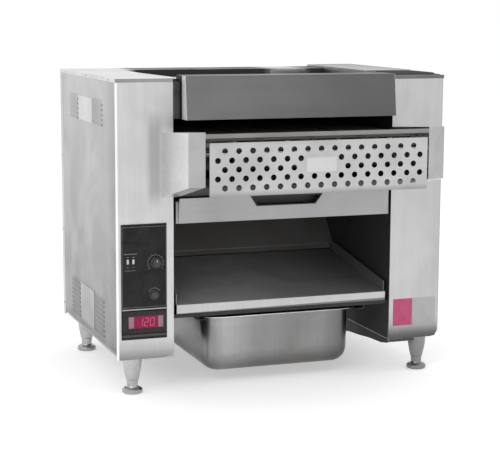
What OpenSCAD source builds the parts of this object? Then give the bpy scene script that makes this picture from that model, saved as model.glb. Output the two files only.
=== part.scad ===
// Countertop conveyor broiler: two sheet-metal towers carry a wire belt through a heated chamber.
// Food goes in over the front feeder, drops down a chute at the back and comes to rest on the front slide.
// Origin: on the surface it stands on, below the middle of the whole machine. +X right, +Y back, +Z up.

/* [Cabinet] */
// Width over both tower covers
body_w = 775; // [740:1:820]
// Depth from the tower fronts to the rear panel
body_d = 531; // [515:1:600]
// Height of the tower covers, without legs and roof caps
body_h = 602; // [594:1:650]
// Width of one tower
tower_w = 128; // [122:1:140]
// Thickness of the cover sheets
sheet = 1.5; // [1.2:0.1:2]
// Thickness of the chassis plates
wall = 2; // [1.6:0.1:2.6]
// Outside radius of the bend between tower front and side
bend_r = 5; // [3.5:0.5:8]
// Radius of the rounded lower corners of the tower fronts
corner_r = 24; // [10:1:26]
// Height of the roof caps
cap_h = 8; // [6:0.5:12]
// Height of the turned-in lower edge of the outer sides
tuck_h = 13; // [6:1:18]
// How far that edge is turned in
tuck_in = 8; // [4:0.5:10]
// Depth of the rear panel's side returns
rear_wrap = 21; // [16:1:30]
// Width of the stiffening flanges of the chassis plates
flange_w = 14; // [10:1:18]
// Gap between neighbouring sheets
seam = 0.6; // [0.4:0.1:1]

/* [Legs] */
// Height of the cabinet above the surface
leg_h = 81; // [74:1:105]
// Radius of a leg at its top
leg_r = 21; // [19:0.5:24]
// Radius of a leg at its lower end
leg_low_r = 14.5; // [13:0.5:16]
// Radius of the adjustable foot's neck
neck_r = 12; // [10.5:0.5:13]
// Radius of the foot's flange
foot_r = 23; // [20:0.5:26]
// Thickness of the foot's flange
foot_t = 12; // [10:0.5:15]
// Height of the adjustable foot up to its shoulder
foot_h = 30; // [26:1:34]
// Radius of the foot's threaded stem
stem_r = 8; // [6:0.5:9]
// Travel of the adjustable foot
foot_travel = 15; // [8:1:20]
// Distance of a leg's axis from the tower's outer side
leg_inset_x = 41; // [32:1:60]
// Distance of the front legs' axes from the tower fronts
leg_inset_y = 30; // [26:1:60]
// Distance of the rear legs' axes from the rear panel
leg_inset_rear = 72; // [30:1:90]

/* [Side louvres] */
// Width of one louvre
louvre_w = 82; // [60:1:90]
// Height of a louvre's hood
louvre_h = 6; // [4:0.5:7]
// How far a louvre stands out of the side
louvre_out = 2.5; // [1.5:0.1:3.5]
// Distance from one louvre to the next
louvre_pitch = 11; // [9:0.5:13]
// Louvres in an upper field
louvre_rows = 5; // [3:1:6]
// Louvres in a lower field
low_louvre_rows = 8; // [5:1:9]
// Height of the lower fields above the cabinet's lower edge
low_louvre_z = 28; // [20:1:40]
// Distance of the upper fields' lower edge below the covers' top
top_louvre_drop = 100; // [80:1:130]
// Distance of the pad's middle from the tower fronts
pad_y = 270; // [250:5:290]
// Gap between a pad and its louvres
pad_gap = 8; // [5:1:16]
// Width of the plain embossed pad between two louvre fields
pad_w = 132; // [110:1:140]
// How far the pad stands out
pad_out = 1.2; // [0.6:0.1:2]

/* [Feeder] */
// Reach of the feeder in front of the towers
feed_reach = 200; // [185:1:230]
// Overlap of the feeder housings on the tower fronts
feed_overlap = 28; // [22:1:40]
// Width of one feeder housing
housing_w = 36; // [32:1:46]
// Height of a feeder housing where it meets the tower
feed_rear_h = 141; // [136:1:152]
// Height of a feeder housing at its front
feed_front_h = 112.5; // [106:0.5:120]
// Rise of the feeder's top edge towards the front
feed_rise = 16; // [10:1:20]
// Height of the light rail across the feeder's front
top_rail_h = 9; // [7:1:12]
// Distance of the light rail's lower edge below the housings' front corners
top_rail_drop = 13; // [11:1:16]
// Height of the feeder floor's front lip
floor_lip = 3; // [2:0.5:6]
// Height of the perforated guard
guard_h = 110; // [104:1:118]
// Gap between the guard and the chamber's width on each side
guard_side_gap = 14.5; // [10:0.5:18]
// Gap between the feeder's front and the guard
guard_gap = 5; // [4:0.5:8]
// Distance of the guard's top edge below the top rail
guard_drop = 9; // [7:1:16]
// Diameter of the guard's holes
guard_hole_d = 12.5; // [9:0.5:14]
// Distance between holes in one row
guard_hole_pitch = 30.3; // [27:0.1:36]
// Distance between the rows of holes
guard_row_pitch = 19; // [17:0.5:21]
// Rows of holes
guard_rows = 5; // [4:1:5]
// Width of the bare plate in the middle of the guard
plate_w = 68; // [50:1:80]
// Height of the bare plate
plate_h = 30; // [20:1:36]
// Height of the plate's middle above the guard's middle
plate_rise = 5; // [0:0.5:10]

/* [Belt and drive] */
// Distance between two rods of the belt
belt_pitch = 15.5; // [14:0.5:17]
// Diameter of the belt's rods
rod_d = 3; // [2.4:0.2:3.6]
// Teeth of a belt wheel, a multiple of four
wheel_teeth = 12; // [12:4:12]
// Gap between the belt and the feeder's inner walls on each side
belt_side_gap = 15; // [9:0.5:18]
// Diameter of both belt shafts
shaft_d = 12; // [10:0.5:15]
// Wall of the shaft bushes
bush_wall = 3; // [2.5:0.5:4]
// Radial running clearance of every shaft
run_fit = 0.05; // [0.03:0.01:0.08]
// Distance of the belt's front from the feeder's front
nose_gap = 8; // [6:0.5:14]
// Least space between the drive shaft and the rear panel
rear_space = 112; // [106:1:130]
// Drop of the belt's top below the feeder's side walls
belt_drop = 5; // [3:0.5:8]
// Pitch of the drive chain
chain_pitch = 9.525; // [9:0.025:10]
// Links of the drive chain
chain_links = 38; // [36:2:42]
// Teeth of the sprocket on the drive shaft, a multiple of four
driven_teeth = 16; // [16:4:16]
// Teeth of the motor's sprocket
motor_teeth = 12; // [12:4:12]

/* [Chamber] */
// Free height between the belt and the upper heater's guard line
throat_h = 34; // [28:1:46]
// Diameter of the heater tubes
heater_d = 8; // [6.5:0.5:10]
// Straight runs of one heater, an even number
heater_runs = 6; // [4:2:6]
// Distance between the runs of a heater
heater_pitch = 46; // [40:1:50]
// Width of the hood's gap to each tower
hood_gap = 15; // [8:0.5:18]
// How far the hood stands out at its top
hood_top_out = 40; // [30:1:60]
// How far the hood stands out at its lower edge
hood_low_out = 51; // [36:1:75]
// Height of the hood's top above the roof caps
hood_rise = 6; // [0:1:12]
// Width of the flue opening
flue_w = 300; // [240:5:340]
// Depth of the flue opening
flue_d = 240; // [200:5:260]
// Height of the flue's collar above the chamber's roof
collar_h = 26; // [18:1:30]
// Distance of the chamber's back from the rear panel
wall_gap = 30; // [28:1:36]

/* [Discharge] */
// Height of the deck above the cabinet's lower edge
deck_z = 86; // [78:1:96]
// Height of the slide's front hem
hem_h = 20; // [14:1:26]
// Gap between the deck and the slide's hem
hem_gap = 5; // [3:0.5:8]
// Length of the slide, front to back
slide_len = 320; // [290:1:330]
// Rise of the slide over its length
slide_rise = 50; // [40:1:56]
// Height of the slide's side walls
slide_wall_h = 24; // [16:1:30]
// Gap between the slide and the chamber's walls
slide_side_gap = 8.5; // [6:0.5:14]
// Height of the discharge mouth at its front
mouth_h = 182; // [174:1:190]
// Angle of the chute behind the slide
chute_angle = 50; // [46:1:54]

/* [Drip drawer] */
// Height of the drawer's front
drawer_h = 56; // [52:1:62]
// Depth of the drawer's tray, front to back
drawer_d = 400; // [360:1:404]
// Gap between the drawer's front and the chamber's walls
drawer_gap = 11; // [8:0.5:16]
// How far the drawer's front leans out at its top
drawer_lean = 10; // [6:1:14]
// Width of the grip at its top
grip_w = 170; // [140:1:200]
// Height of the grip
grip_h = 23; // [19:1:32]
// How much narrower the grip is at each end of its lower edge
grip_taper = 15; // [8:1:20]

/* [Grease pan] */
// Width of the pan over its rim
pan_w = 391; // [370:1:400]
// Depth of the pan over its rim, front to back
pan_d = 368; // [350:1:390]
// Height of the pan
pan_h = 132; // [118:1:136]
// Width of the pan's rim
rim_w = 17; // [14:1:22]
// Radius of the pan's upright corners
pan_corner_r = 43; // [36:1:56]
// Radius of the pan's lower edge
pan_edge_r = 33; // [22:1:36]
// Gap between the deck and the pan's rim
rim_gap = 7; // [5:0.5:9]

/* [Controls] */
// Width of the control panel
panel_w = 101.5; // [97:0.5:104]
// Height of the control panel
panel_h = 253; // [240:1:264]
// Thickness of the control panel
panel_t = 2.5; // [2:0.1:3.5]
// Height of the control panel's lower edge above the cabinet's lower edge
panel_z = 45; // [38:1:54]
// Width of the controller's bezel
bezel_w = 98; // [96:1:100]
// Height of the controller's bezel
bezel_h = 49; // [46:1:54]
// Width of the display window
window_w = 79; // [70:1:86]
// Height of the display window
window_h = 27; // [24:1:34]
// Distance of the display window's middle from the bezel's middle
window_x = 2.5; // [0:0.5:6]
// Radius of the start button
button_r = 8; // [6.5:0.5:9]
// Travel of the start button
button_travel = 3; // [2:0.5:4]
// Radius of the speed knob
knob_r = 12; // [10:0.5:14]

/* [Services] */
// Size of the cooling fan
fan_size = 92; // [80:1:92]
// Thickness of the cooling fan
fan_t = 25; // [20:1:38]
// Height of the fan's axis above the cabinet's lower edge
fan_z = 300; // [200:5:400]
// Width of the air slots in the rear panel
slot_w = 70; // [50:1:80]
// Height of an air slot
slot_h = 5; // [4:0.5:7]
// Distance from one air slot to the next
slot_pitch = 14; // [10:1:18]
// Air slots
slot_rows = 8; // [4:1:10]
// Radius of the cable gland's bore
gland_r = 7.5; // [6:0.5:9]
// Length of the cable gland's bore
gland_len = 34; // [28:1:40]

/* [Hidden] */

// Facets of true circles, and of the rounded shells
$fn = 64;
shell_fn = 32;
// Play between solids that move past each other
play = 0.3;
// Broken edge of turned parts
edge_r = 1.5;
// Distance by which a cutting shape passes the face it cuts
cut = 1;

// Colours
steel = [0.78, 0.78, 0.79];
bright_steel = [0.86, 0.86, 0.87];
pale_steel = [0.66, 0.66, 0.67];
dark_steel = [0.40, 0.40, 0.41];
burnt_steel = [0.24, 0.22, 0.21];
black_plastic = [0.09, 0.09, 0.10];
lens_red = [0.72, 0.06, 0.20];
brass = [0.71, 0.60, 0.34];
ceramic = [0.88, 0.86, 0.80];

// Widths across the machine
half_w = body_w / 2;
half_c = half_w - tower_w;
feed_half = half_c + feed_overlap;
housing_in = feed_half - housing_w;
belt_half = housing_in - sheet - belt_side_gap;
guard_half = half_c - guard_side_gap;
hood_half = half_c - hood_gap;
drawer_half = half_c - drawer_gap;
slide_half = half_c - slide_side_gap;

// Heights above the cabinet's lower edge, stacked from the deck upwards
deck_top = deck_z + wall;
slide_z = deck_top + hem_gap + hem_h;
drawer_z = slide_z + mouth_h;
feed_z = drawer_z + drawer_h + 2;
feed_top = feed_z + feed_rear_h;
feed_front_top = feed_top + feed_rise;
feed_front_z = feed_front_top - feed_front_h;
top_rail_z = feed_front_top - top_rail_drop;
guard_top = top_rail_z - guard_drop;
guard_z = guard_top - guard_h;
belt_top = feed_top - belt_drop;
hood_z = belt_top + throat_h;
upper_heater_z = hood_z + 6 + heater_d / 2;
upper_reflector_z = upper_heater_z + heater_d / 2 + 8;
ceiling_z = upper_reflector_z + 20;
top_z = body_h + cap_h;
collar_top = ceiling_z + collar_h;

// Belt geometry: the rods turn with the corners of the wheel's polygon
wheel_r = belt_pitch / (2 * sin(180 / wheel_teeth));
belt_r = wheel_r + rod_d / 2;
shaft_z = belt_top - belt_r;
nose_y = -feed_reach + nose_gap + belt_r;
belt_gaps = floor((body_d - rear_space - nose_y) / belt_pitch);
drive_y = nose_y + belt_gaps * belt_pitch;
belt_bottom = shaft_z - belt_r;
belt_strip_w = 5;
belt_strip_t = 1.2;
wheel_t = 10;
wheel_spots = [for (i = [0:3]) (i - 1.5) * belt_half / 2];
strip_spots = [for (i = [0:4]) (i - 2) * (belt_half - belt_strip_w / 2) / 2];
bush_len = 14;
bush_lip = 3;

// Frame inside the belt: wear strips on cross bars, the lower heater under the bars
wear_w = 8;
wear_h = 8;
bar_h = 10;
bar_t = 3;
wear_top = shaft_z + wheel_r - rod_d / 2;
bar_top = wear_top - wear_h;
wear_spots = [for (i = [-1:1]) i * (wheel_spots[3] - wheel_t / 2 - wear_w)];
wear_y0 = nose_y + belt_r + 6;
wear_y1 = drive_y - belt_r - 6;
bar_y0 = 30;
bar_y1 = wear_y1 - 20;
lower_heater_z = bar_top - bar_h - heater_d / 2;
lower_reflector_z = lower_heater_z - heater_d / 2 - 6 - sheet;

// Heaters
heater_bend = heater_pitch / 2;
heater_y = (bar_y0 + bar_y1) / 2 - heater_pitch * (heater_runs - 1) / 2;
heater_x = belt_half + 2 - heater_bend - heater_d / 2;
heater_out = half_c + wall + 12;
heater_last = heater_y + heater_pitch * (heater_runs - 1);
rib_x = 105;
rib_end = 6;
reflector_edge = 12;
terminal_t = 22;

// Discharge
deck_y = 18;
leg_y = [leg_inset_y, body_d - leg_inset_rear];
slide_y = 5.5;
slide_end = slide_y + slide_len;
chute_y = slide_end + 10;
chute_z = slide_z + slide_rise + 11;
heat_wall_y = body_d - wall_gap;
chute_back = heat_wall_y - 4 - sheet;
chute_knee = chute_z + (chute_back - chute_y) * tan(chute_angle);
chute_top = shaft_z;
slide_slope = slide_rise / slide_len;

// Grease pan and its rails
pan_y = 8;
rim_t = 2;
rim_top = deck_z - rim_gap;
rim_z = rim_top - rim_t;
pan_bottom = rim_top - pan_h;
pan_taper = 2;
rail_t = 2;
rail_z = rim_z - play;
rail_ledge = 15;
rail_gap = 3;
rail_end = 10;
rail_flange = 22;

// Drawer
tray_t = 1.2;
tray_half = half_c - 6;
tray_h = drawer_h - 9;
drawer_front_y = -drawer_lean;
grip_out = 2;
grip_depth = 16;
grip_wall = 2;
runner_w = 14;
runner_y = 20;

// Control panel, seen from the front
panel_x = -half_w + 10 + panel_w / 2;
panel_lip = 6;
bezel_z = panel_z + 14;
bezel_out = 4;
window_mid = panel_x + window_x;
lens_front = 0.7;
lens_back = 2.5;
tail_depth = 66;
tail_edge = 5;
button_x = panel_x + 22.5;
button_z = panel_z + 97;
button_out = 5;
button_flange = 3;
knob_x = panel_x + 25.5;
knob_z = panel_z + 167.5;
lamp_z = panel_z + 172;
lamp_spots = [panel_x - 36.5, panel_x - 24];
lamp_w = 5;
lamp_h = 11;
knob_h = 13;
spindle_r = 3;
spindle_end = 14;
pot_y = 5;
pot_t = 14;
switch_w = 20;
switch_t = 18;

// Roof: back edge of the hood, reach of the rear cover plate, middle of the flue, height of its collar
hood_back = 26;
cover_reach = 90;
flue_y = (hood_back + heat_wall_y - cover_reach) / 2;
screen_h = 6;

// Services at the back
fan_x = -(half_w + half_c + wall) / 2;
grille_pitch = 9;
slot_z = 90;
gland_x = fan_x;
gland_z = 60;
pin_r = 2.5;
gland_out = 20;
gland_wall = 3;
motor_gear_w = 62;
motor_can_r = 33;
motor_can_len = 120;
motor_can_x = 36;
gearbox_gap = 12;
gearbox_len = 44;
spindle_len = 30;
bracket_drop = 22;
bracket_t = 4;

// Drive chain: the distance of the two sprockets follows from whole links
driven_r = chain_pitch / (2 * sin(180 / driven_teeth));
motor_r = chain_pitch / (2 * sin(180 / motor_teeth));
chain_free = chain_links - (driven_teeth + motor_teeth) / 2;
chain_turn = (driven_teeth - motor_teeth) / (2 * PI);
chain_gap = chain_pitch / 4 * (chain_free + sqrt(chain_free * chain_free - 8 * chain_turn * chain_turn));
motor_z = shaft_z - chain_gap;
chain_x = half_c + wall + bush_lip + 9;
chain_plate = 1.2;
chain_inner = 5.2;
roller_d = 5.2;
sprocket_t = 4;
chain_tilt = asin((driven_r - motor_r) / chain_gap);

// Whole machine, front to back
label_t = 1;
front_reach = feed_reach + guard_gap + sheet + label_t;
rear_reach = gland_out;
front_y = (front_reach - rear_reach - body_d) / 2;

// Moves the cabinet's own frame to the machine's frame: tower fronts at y 0, lower edge at z 0
module in_body() {
    translate([0, front_y, leg_h]) children();
}

// Mirrors the right-hand shape to the left when s is -1
module side(s) {
    mirror([s < 0 ? 1 : 0, 0, 0]) children();
}

// Box between two corners
module box(a, b) {
    translate(a) cube(b - a);
}

// Outline in y and z, drawn out along x
module across(x0, x1) {
    translate([x0, 0, 0]) rotate([90, 0, 90]) linear_extrude(x1 - x0) children();
}

// Outline in x and z, drawn out along y
module along(y0, y1) {
    translate([0, y1, 0]) rotate([90, 0, 0]) linear_extrude(y1 - y0) children();
}

// Round bar along x
module bar_x(x0, x1, y, z, r) {
    translate([x0, y, z]) rotate([0, 90, 0]) cylinder(r = r, h = x1 - x0);
}

// Round bar along y
module bar_y(y0, y1, x, z, r) {
    translate([x, y1, z]) rotate([90, 0, 0]) cylinder(r = r, h = y1 - y0);
}

// Strip between two points of the y and z plane, t high
module strip(p, q, t) {
    polygon([p, q, q + [0, t], p + [0, t]]);
}

// Floor plates of the towers, each with an upturned outer edge
module tower_floors() {
    x1 = half_w - sheet - tuck_in - play;
    color(pale_steel) in_body() for (s = [-1, 1]) side(s) difference() {
        union() {
            linear_extrude(wall) polygon([
                [half_c, sheet], [x1 - bend_r, sheet], [x1, sheet + bend_r], [x1, body_d - sheet],
                [half_c, body_d - sheet]
            ]);
            box([x1 - wall, sheet + bend_r, 0], [x1, body_d - sheet, flange_w]);
        }
        for (y = leg_y)
            translate([half_w - leg_inset_x, y, -cut]) cylinder(r = stem_r + run_fit, h = wall + 2 * cut);
    }
}

// Wall between a tower and the chamber, with flanges that carry the covers
module inner_wall() {
    difference() {
        union() {
            box([half_c, sheet, wall], [half_c + wall, body_d - sheet, body_h]);
            box([half_c, sheet, wall], [half_c + flange_w, sheet + wall, body_h]);
            box([half_c, body_d - sheet - wall, wall], [half_c + flange_w, body_d - sheet, body_h]);
            box([half_c, sheet, body_h - wall], [half_c + flange_w, body_d - sheet, body_h]);
        }
        bar_x(half_c - cut, half_c + wall + cut, drive_y, shaft_z, shaft_d / 2 + run_fit + bush_wall);
    }
}

module left_inner_wall() {
    color(pale_steel) in_body() difference() {
        side(-1) inner_wall();
        for (z = [upper_heater_z, lower_heater_z], y = [heater_y, heater_last])
            bar_x(-half_c - wall - cut, -half_c + cut, y, z, heater_d / 2 + play);
    }
}

module right_inner_wall() {
    color(pale_steel) in_body() inner_wall();
}

// One pressed louvre on the outer side, open at its lower edge
module louvre() {
    lip = sheet * 0.6;
    along(0, louvre_w) polygon([
        [half_w, louvre_h], [half_w + louvre_out, 0], [half_w + louvre_out - lip, 0],
        [half_w - lip, louvre_h - 1], [half_w - lip, louvre_h]
    ]);
}

// Slot in the sheet below a louvre
module louvre_slot() {
    box([half_w - sheet - cut, 1, 0], [half_w + cut, louvre_w - 1, louvre_h - 1.5]);
}

// Lower edge and number of louvres of the upper and the lower bank
banks = [[low_louvre_z, low_louvre_rows], [body_h - top_louvre_drop, louvre_rows]];

// Repeats a louvre over both fields of a bank
module louvre_bank(bank) {
    for (i = [0:bank[1] - 1], y = [pad_y - pad_w / 2 - pad_gap - louvre_w, pad_y + pad_w / 2 + pad_gap])
        translate([0, y, bank[0] + i * louvre_pitch]) children();
}

// Plain pad between the fields of a bank, e smaller all round
module louvre_pad(bank, x0, x1, e) {
    box([x0, pad_y - pad_w / 2 + e, bank[0] + e],
        [x1, pad_y + pad_w / 2 - e, bank[0] + bank[1] * louvre_pitch - e]);
}

// Front and outer side of a tower, bent from one sheet
module tower_cover() {
    cover_d = body_d - rear_wrap - seam;
    difference() {
        union() {
            linear_extrude(body_h) {
                translate([half_c, 0]) square([tower_w - bend_r, sheet]);
                intersection() {
                    translate([half_w - bend_r, bend_r]) difference() {
                        circle(bend_r);
                        circle(bend_r - sheet);
                    }
                    translate([half_w - bend_r, 0]) square(bend_r);
                }
            }
            box([half_w - sheet, bend_r, tuck_h], [half_w, cover_d, body_h]);
            along(bend_r, cover_d) polygon([
                [half_w - sheet, tuck_h], [half_w, tuck_h],
                [half_w - tuck_in, 0], [half_w - tuck_in - sheet, 0]
            ]);
            for (b = banks) louvre_pad(b, half_w - sheet, half_w + pad_out, 0);
        }
        for (b = banks) louvre_bank(b) louvre_slot();
        for (b = banks) louvre_pad(b, half_w - sheet - cut, half_w + pad_out - sheet, sheet);
    }
    for (b = banks) louvre_bank(b) louvre();
}

// Rounds off a lower corner of a tower front; s is 1 when the corner points to +X
module corner_cut(x, s) {
    translate([x, 0, 0]) side(s) difference() {
        box([-corner_r, -cut, -cut], [cut, bend_r, corner_r]);
        bar_y(-2 * cut, bend_r + cut, -corner_r, corner_r, corner_r);
    }
}

module left_cover() {
    color(steel) in_body() difference() {
        side(-1) tower_cover();
        box([panel_x - panel_w / 2 + panel_lip, -cut, panel_z + panel_lip],
            [panel_x + panel_w / 2 - panel_lip, sheet + cut, panel_z + panel_h - panel_lip]);
        corner_cut(-half_c, 1);
    }
}

module right_cover() {
    color(steel) in_body() difference() {
        tower_cover();
        corner_cut(half_w, 1);
    }
}

// Lid on top of a tower
module roof_cap() {
    difference() {
        box([half_c, 0, body_h], [half_w, body_d, top_z]);
        box([half_c + sheet, sheet, body_h - cut], [half_w - sheet, body_d - sheet, top_z - sheet]);
    }
}

module left_roof_cap() {
    color(bright_steel) in_body() side(-1) roof_cap();
}

module right_roof_cap() {
    color(bright_steel) in_body() roof_cap();
}

// Rear panel with side returns, fan grille, gland hole and air slots
module rear_panel() {
    slot_x = (half_w + half_c) / 2 - slot_w / 2;
    color(pale_steel) in_body() difference() {
        union() {
            box([-half_w, body_d - sheet, 0], [half_w, body_d, body_h]);
            for (s = [-1, 1]) side(s)
                box([half_w - sheet, body_d - rear_wrap, 0], [half_w, body_d, body_h]);
        }
        for (i = [-4:4], s = [-1, 1]) {
            z = fan_z + i * grille_pitch;
            reach = sqrt(pow(fan_size / 2 - 4, 2) - pow(i * grille_pitch, 2));
            box([fan_x + (s < 0 ? -reach : 2), body_d - sheet - cut, z - grille_pitch * 0.28],
                [fan_x + (s < 0 ? -2 : reach), body_d + cut, z + grille_pitch * 0.28]);
        }
        bar_y(body_d - sheet - cut, body_d + cut, gland_x, gland_z, gland_r + gland_wall);
        for (i = [0:slot_rows - 1])
            box([slot_x, body_d - sheet - cut, slot_z + i * slot_pitch],
                [slot_x + slot_w, body_d + cut, slot_z + i * slot_pitch + slot_h]);
    }
}

// Light cover plate behind the flue, level with the roof caps
module rear_top_cover() {
    y0 = heat_wall_y - cover_reach;
    color(bright_steel) in_body() union() {
        box([-half_c + seam, y0, top_z - sheet], [half_c - seam, body_d, top_z]);
        box([-half_c + seam, y0, ceiling_z + wall], [half_c - seam, y0 + sheet, top_z]);
        box([-half_c + seam, body_d - sheet, body_h], [half_c - seam, body_d, top_z]);
    }
}

// Deck over the grease pan, ties the towers together
module centre_deck() {
    hole = pan_w / 2 - rim_w - 4;
    color(pale_steel) in_body() difference() {
        union() {
            box([-half_c, deck_y, deck_z], [half_c, heat_wall_y, deck_top]);
            box([-half_c, heat_wall_y - wall, deck_z - flange_w], [half_c, heat_wall_y, deck_top]);
        }
        box([-hole, pan_y + rim_w + 4, deck_z - cut], [hole, pan_y + pan_d - rim_w - 4, deck_top + cut]);
    }
}

// Back of the chamber
module rear_heat_wall() {
    color(burnt_steel) in_body()
        box([-half_c, heat_wall_y, deck_z - flange_w], [half_c, heat_wall_y + wall, ceiling_z]);
}

// Roof of the chamber with the flue opening and its collar
module chamber_ceiling() {
    y0 = flue_y - flue_d / 2;
    x0 = -flue_w / 2;
    color(burnt_steel) in_body() difference() {
        union() {
            box([-half_c, 2 * sheet, ceiling_z], [half_c, heat_wall_y + wall, ceiling_z + wall]);
            box([x0 - wall, y0 - wall, ceiling_z], [-x0 + wall, y0 + flue_d + wall, collar_top]);
        }
        box([x0, y0, ceiling_z - cut], [-x0, y0 + flue_d, collar_top + cut]);
    }
}

// Plate above the feed throat, carries the hood
module front_header() {
    color(burnt_steel) in_body() union() {
        box([-half_c, sheet, hood_z], [half_c, 2 * sheet, body_h]);
        box([-half_c, sheet, hood_z], [half_c, flange_w, hood_z + sheet]);
    }
}

// Canopy over the feed throat, open below and at the back
module hood() {
    low = [-hood_low_out, hood_z];
    top = top_z + hood_rise;
    high = [-hood_top_out, top];
    color(dark_steel) in_body() union() {
        across(-hood_half, hood_half) polygon([low, high, high + [sheet, 0], low + [sheet, 0]]);
        across(-hood_half, hood_half) strip([-hood_top_out, top - sheet], [hood_back, top - sheet], sheet);
        for (s = [-1, 1]) side(s) across(hood_half - sheet, hood_half)
            polygon([low, high, [hood_back, top], [hood_back, body_h], [sheet, body_h], [sheet, hood_z]]);
    }
}

// Lift-out screen on the flue's collar: a frame with bars and three ties
module flue_screen() {
    edge = 12;
    bar = 3;
    bars = 13;
    ties = 3;
    w = flue_w / 2 + wall + 3;
    y0 = flue_y - flue_d / 2 - wall - 3;
    y1 = y0 + flue_d + 2 * wall + 6;
    z = collar_top;
    color(dark_steel) in_body() union() {
        difference() {
            box([-w, y0, z], [w, y1, z + screen_h]);
            box([-w + edge, y0 + edge, z - cut], [w - edge, y1 - edge, z + screen_h + cut]);
        }
        for (i = [1:bars]) {
            x = -w + edge + i * 2 * (w - edge) / (bars + 1);
            box([x - bar / 2, y0 + edge - cut, z], [x + bar / 2, y1 - edge + cut, z + screen_h - 2]);
        }
        for (i = [1:ties]) {
            y = y0 + edge + i * (y1 - y0 - 2 * edge) / (ties + 1);
            box([-w + edge - cut, y - bar / 2, z], [w - edge + cut, y + bar / 2, z + bar]);
        }
    }
}

// Places a child on each leg's axis; the list picks legs
module at_leg(x, y) {
    translate([x * (half_w - leg_inset_x), front_y + leg_y[y < 0 ? 0 : 1], 0]) children();
}

// Turned upper parts of the legs with a hole for the foot's stem
module leg_bodies() {
    color(bright_steel) for (x = [-1, 1], y = [-1, 1]) at_leg(x, y) rotate_extrude()
        polygon([
            [stem_r + run_fit, foot_h], [leg_low_r - edge_r, foot_h], [leg_low_r, foot_h + edge_r],
            [leg_low_r + (leg_r - leg_low_r) * 0.4, foot_h + (leg_h - foot_h) * 0.28],
            [leg_low_r + (leg_r - leg_low_r) * 0.85, foot_h + (leg_h - foot_h) * 0.6],
            [leg_r, leg_h], [stem_r + run_fit, leg_h]
        ]);
}

// Adjustable foot: flange with a rounded edge, neck and threaded stem
module foot(x, y) {
    stem_top = leg_h - 2;
    color(steel) at_leg(x, y) rotate_extrude()
        polygon([
            [0, 0], [foot_r - 3 * edge_r, 0], [foot_r - edge_r, edge_r * 0.8], [foot_r, 2.5 * edge_r],
            [foot_r - edge_r * 0.5, foot_t - 2 * edge_r], [foot_r - 3 * edge_r, foot_t],
            [neck_r + edge_r, foot_t + edge_r], [neck_r, foot_t + 3 * edge_r], [leg_low_r - edge_r, foot_h],
            [stem_r, foot_h], [stem_r, stem_top], [0, stem_top]
        ]);
}

module front_left_foot() { foot(-1, -1); }
module front_right_foot() { foot(1, -1); }
module rear_left_foot() { foot(-1, 1); }
module rear_right_foot() { foot(1, 1); }

// Side view of a feeder housing
module feeder_side() {
    polygon([[0, feed_z], [0, feed_top], [-feed_reach, feed_front_top], [-feed_reach, feed_front_z]]);
}

// Closed housing at one end of the feeder, holds a bush of the idler shaft
module feeder_housing(s) {
    side(s) difference() {
        union() {
            across(feed_half - sheet, feed_half) feeder_side();
            across(housing_in, housing_in + sheet) feeder_side();
            across(housing_in, feed_half) {
                strip([0, feed_top - sheet], [-feed_reach, feed_front_top - sheet], sheet);
                strip([0, feed_z], [-feed_reach, feed_front_z], sheet);
            }
            box([housing_in, -feed_reach, feed_front_z],
                [feed_half, -feed_reach + sheet, feed_front_top - sheet]);
            box([feed_half - flange_w, -sheet, feed_z + 2 * sheet], [feed_half, 0, feed_top - 2 * sheet]);
        }
        bar_x(housing_in - cut, housing_in + sheet + cut, nose_y, shaft_z, shaft_d / 2 + run_fit + bush_wall);
    }
}

module left_feeder_housing() {
    color(bright_steel) in_body() feeder_housing(-1);
}

module right_feeder_housing() {
    color(bright_steel) in_body() feeder_housing(1);
}

// Sloping floor between the housings, with the front rail and the bar that the guard hangs on
module feeder_floor() {
    color(steel) in_body() union() {
        across(-housing_in, housing_in) strip([0, feed_z], [-feed_reach, feed_front_z], sheet);
        box([-housing_in, -feed_reach, feed_front_z],
            [housing_in, -feed_reach + sheet, feed_front_z + sheet + floor_lip]);
        box([-housing_in, -feed_reach, top_rail_z],
            [housing_in, -feed_reach + sheet, top_rail_z + top_rail_h]);
        bar_x(-housing_in, housing_in, -feed_reach + 3, guard_top - 18, 3);
    }
}

// Perforated guard in front of the belt's nose, hangs on the bar by two hooks
module feed_guard() {
    y0 = -feed_reach - guard_gap - sheet;
    columns = floor((2 * guard_half - 24) / guard_hole_pitch);
    mid_z = guard_z + guard_h / 2;
    plate_z = mid_z + plate_rise;
    hook_z = guard_top - 18;
    color(steel) in_body() union() {
        along(y0, y0 + sheet) difference() {
            translate([-guard_half, guard_z]) square([2 * guard_half, guard_h]);
            for (r = [0:guard_rows - 1]) {
                shift = (r + 1) % 2;
                z = mid_z + (r - (guard_rows - 1) / 2) * guard_row_pitch;
                for (c = [0:columns - shift]) {
                    x = (c - (columns - shift) / 2) * guard_hole_pitch;
                    covered = abs(x) < (plate_w + guard_hole_d) / 2
                        && abs(z - plate_z) < (plate_h + guard_hole_d) / 2;
                    if (!covered && abs(x) < guard_half - guard_hole_d)
                        translate([x, z]) circle(d = guard_hole_d, $fn = 24);
                }
            }
        }
        for (x = [-0.6, 0.6]) translate([x * guard_half, 0, 0]) difference() {
            box([-9, y0 + sheet, hook_z - 6], [9, -feed_reach + 9, hook_z + 6]);
            box([-9 - cut, -feed_reach - play, hook_z - 6 - cut],
                [9 + cut, -feed_reach + 6 + play, hook_z + 3 + play]);
        }
    }
}

// Bare plate in the middle of the guard
module guard_plate() {
    y0 = -feed_reach - guard_gap - sheet - label_t;
    mid_z = guard_z + guard_h / 2 + plate_rise;
    color(bright_steel) in_body()
        box([-plate_w / 2, y0, mid_z - plate_h / 2], [plate_w / 2, y0 + label_t, mid_z + plate_h / 2]);
}

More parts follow.
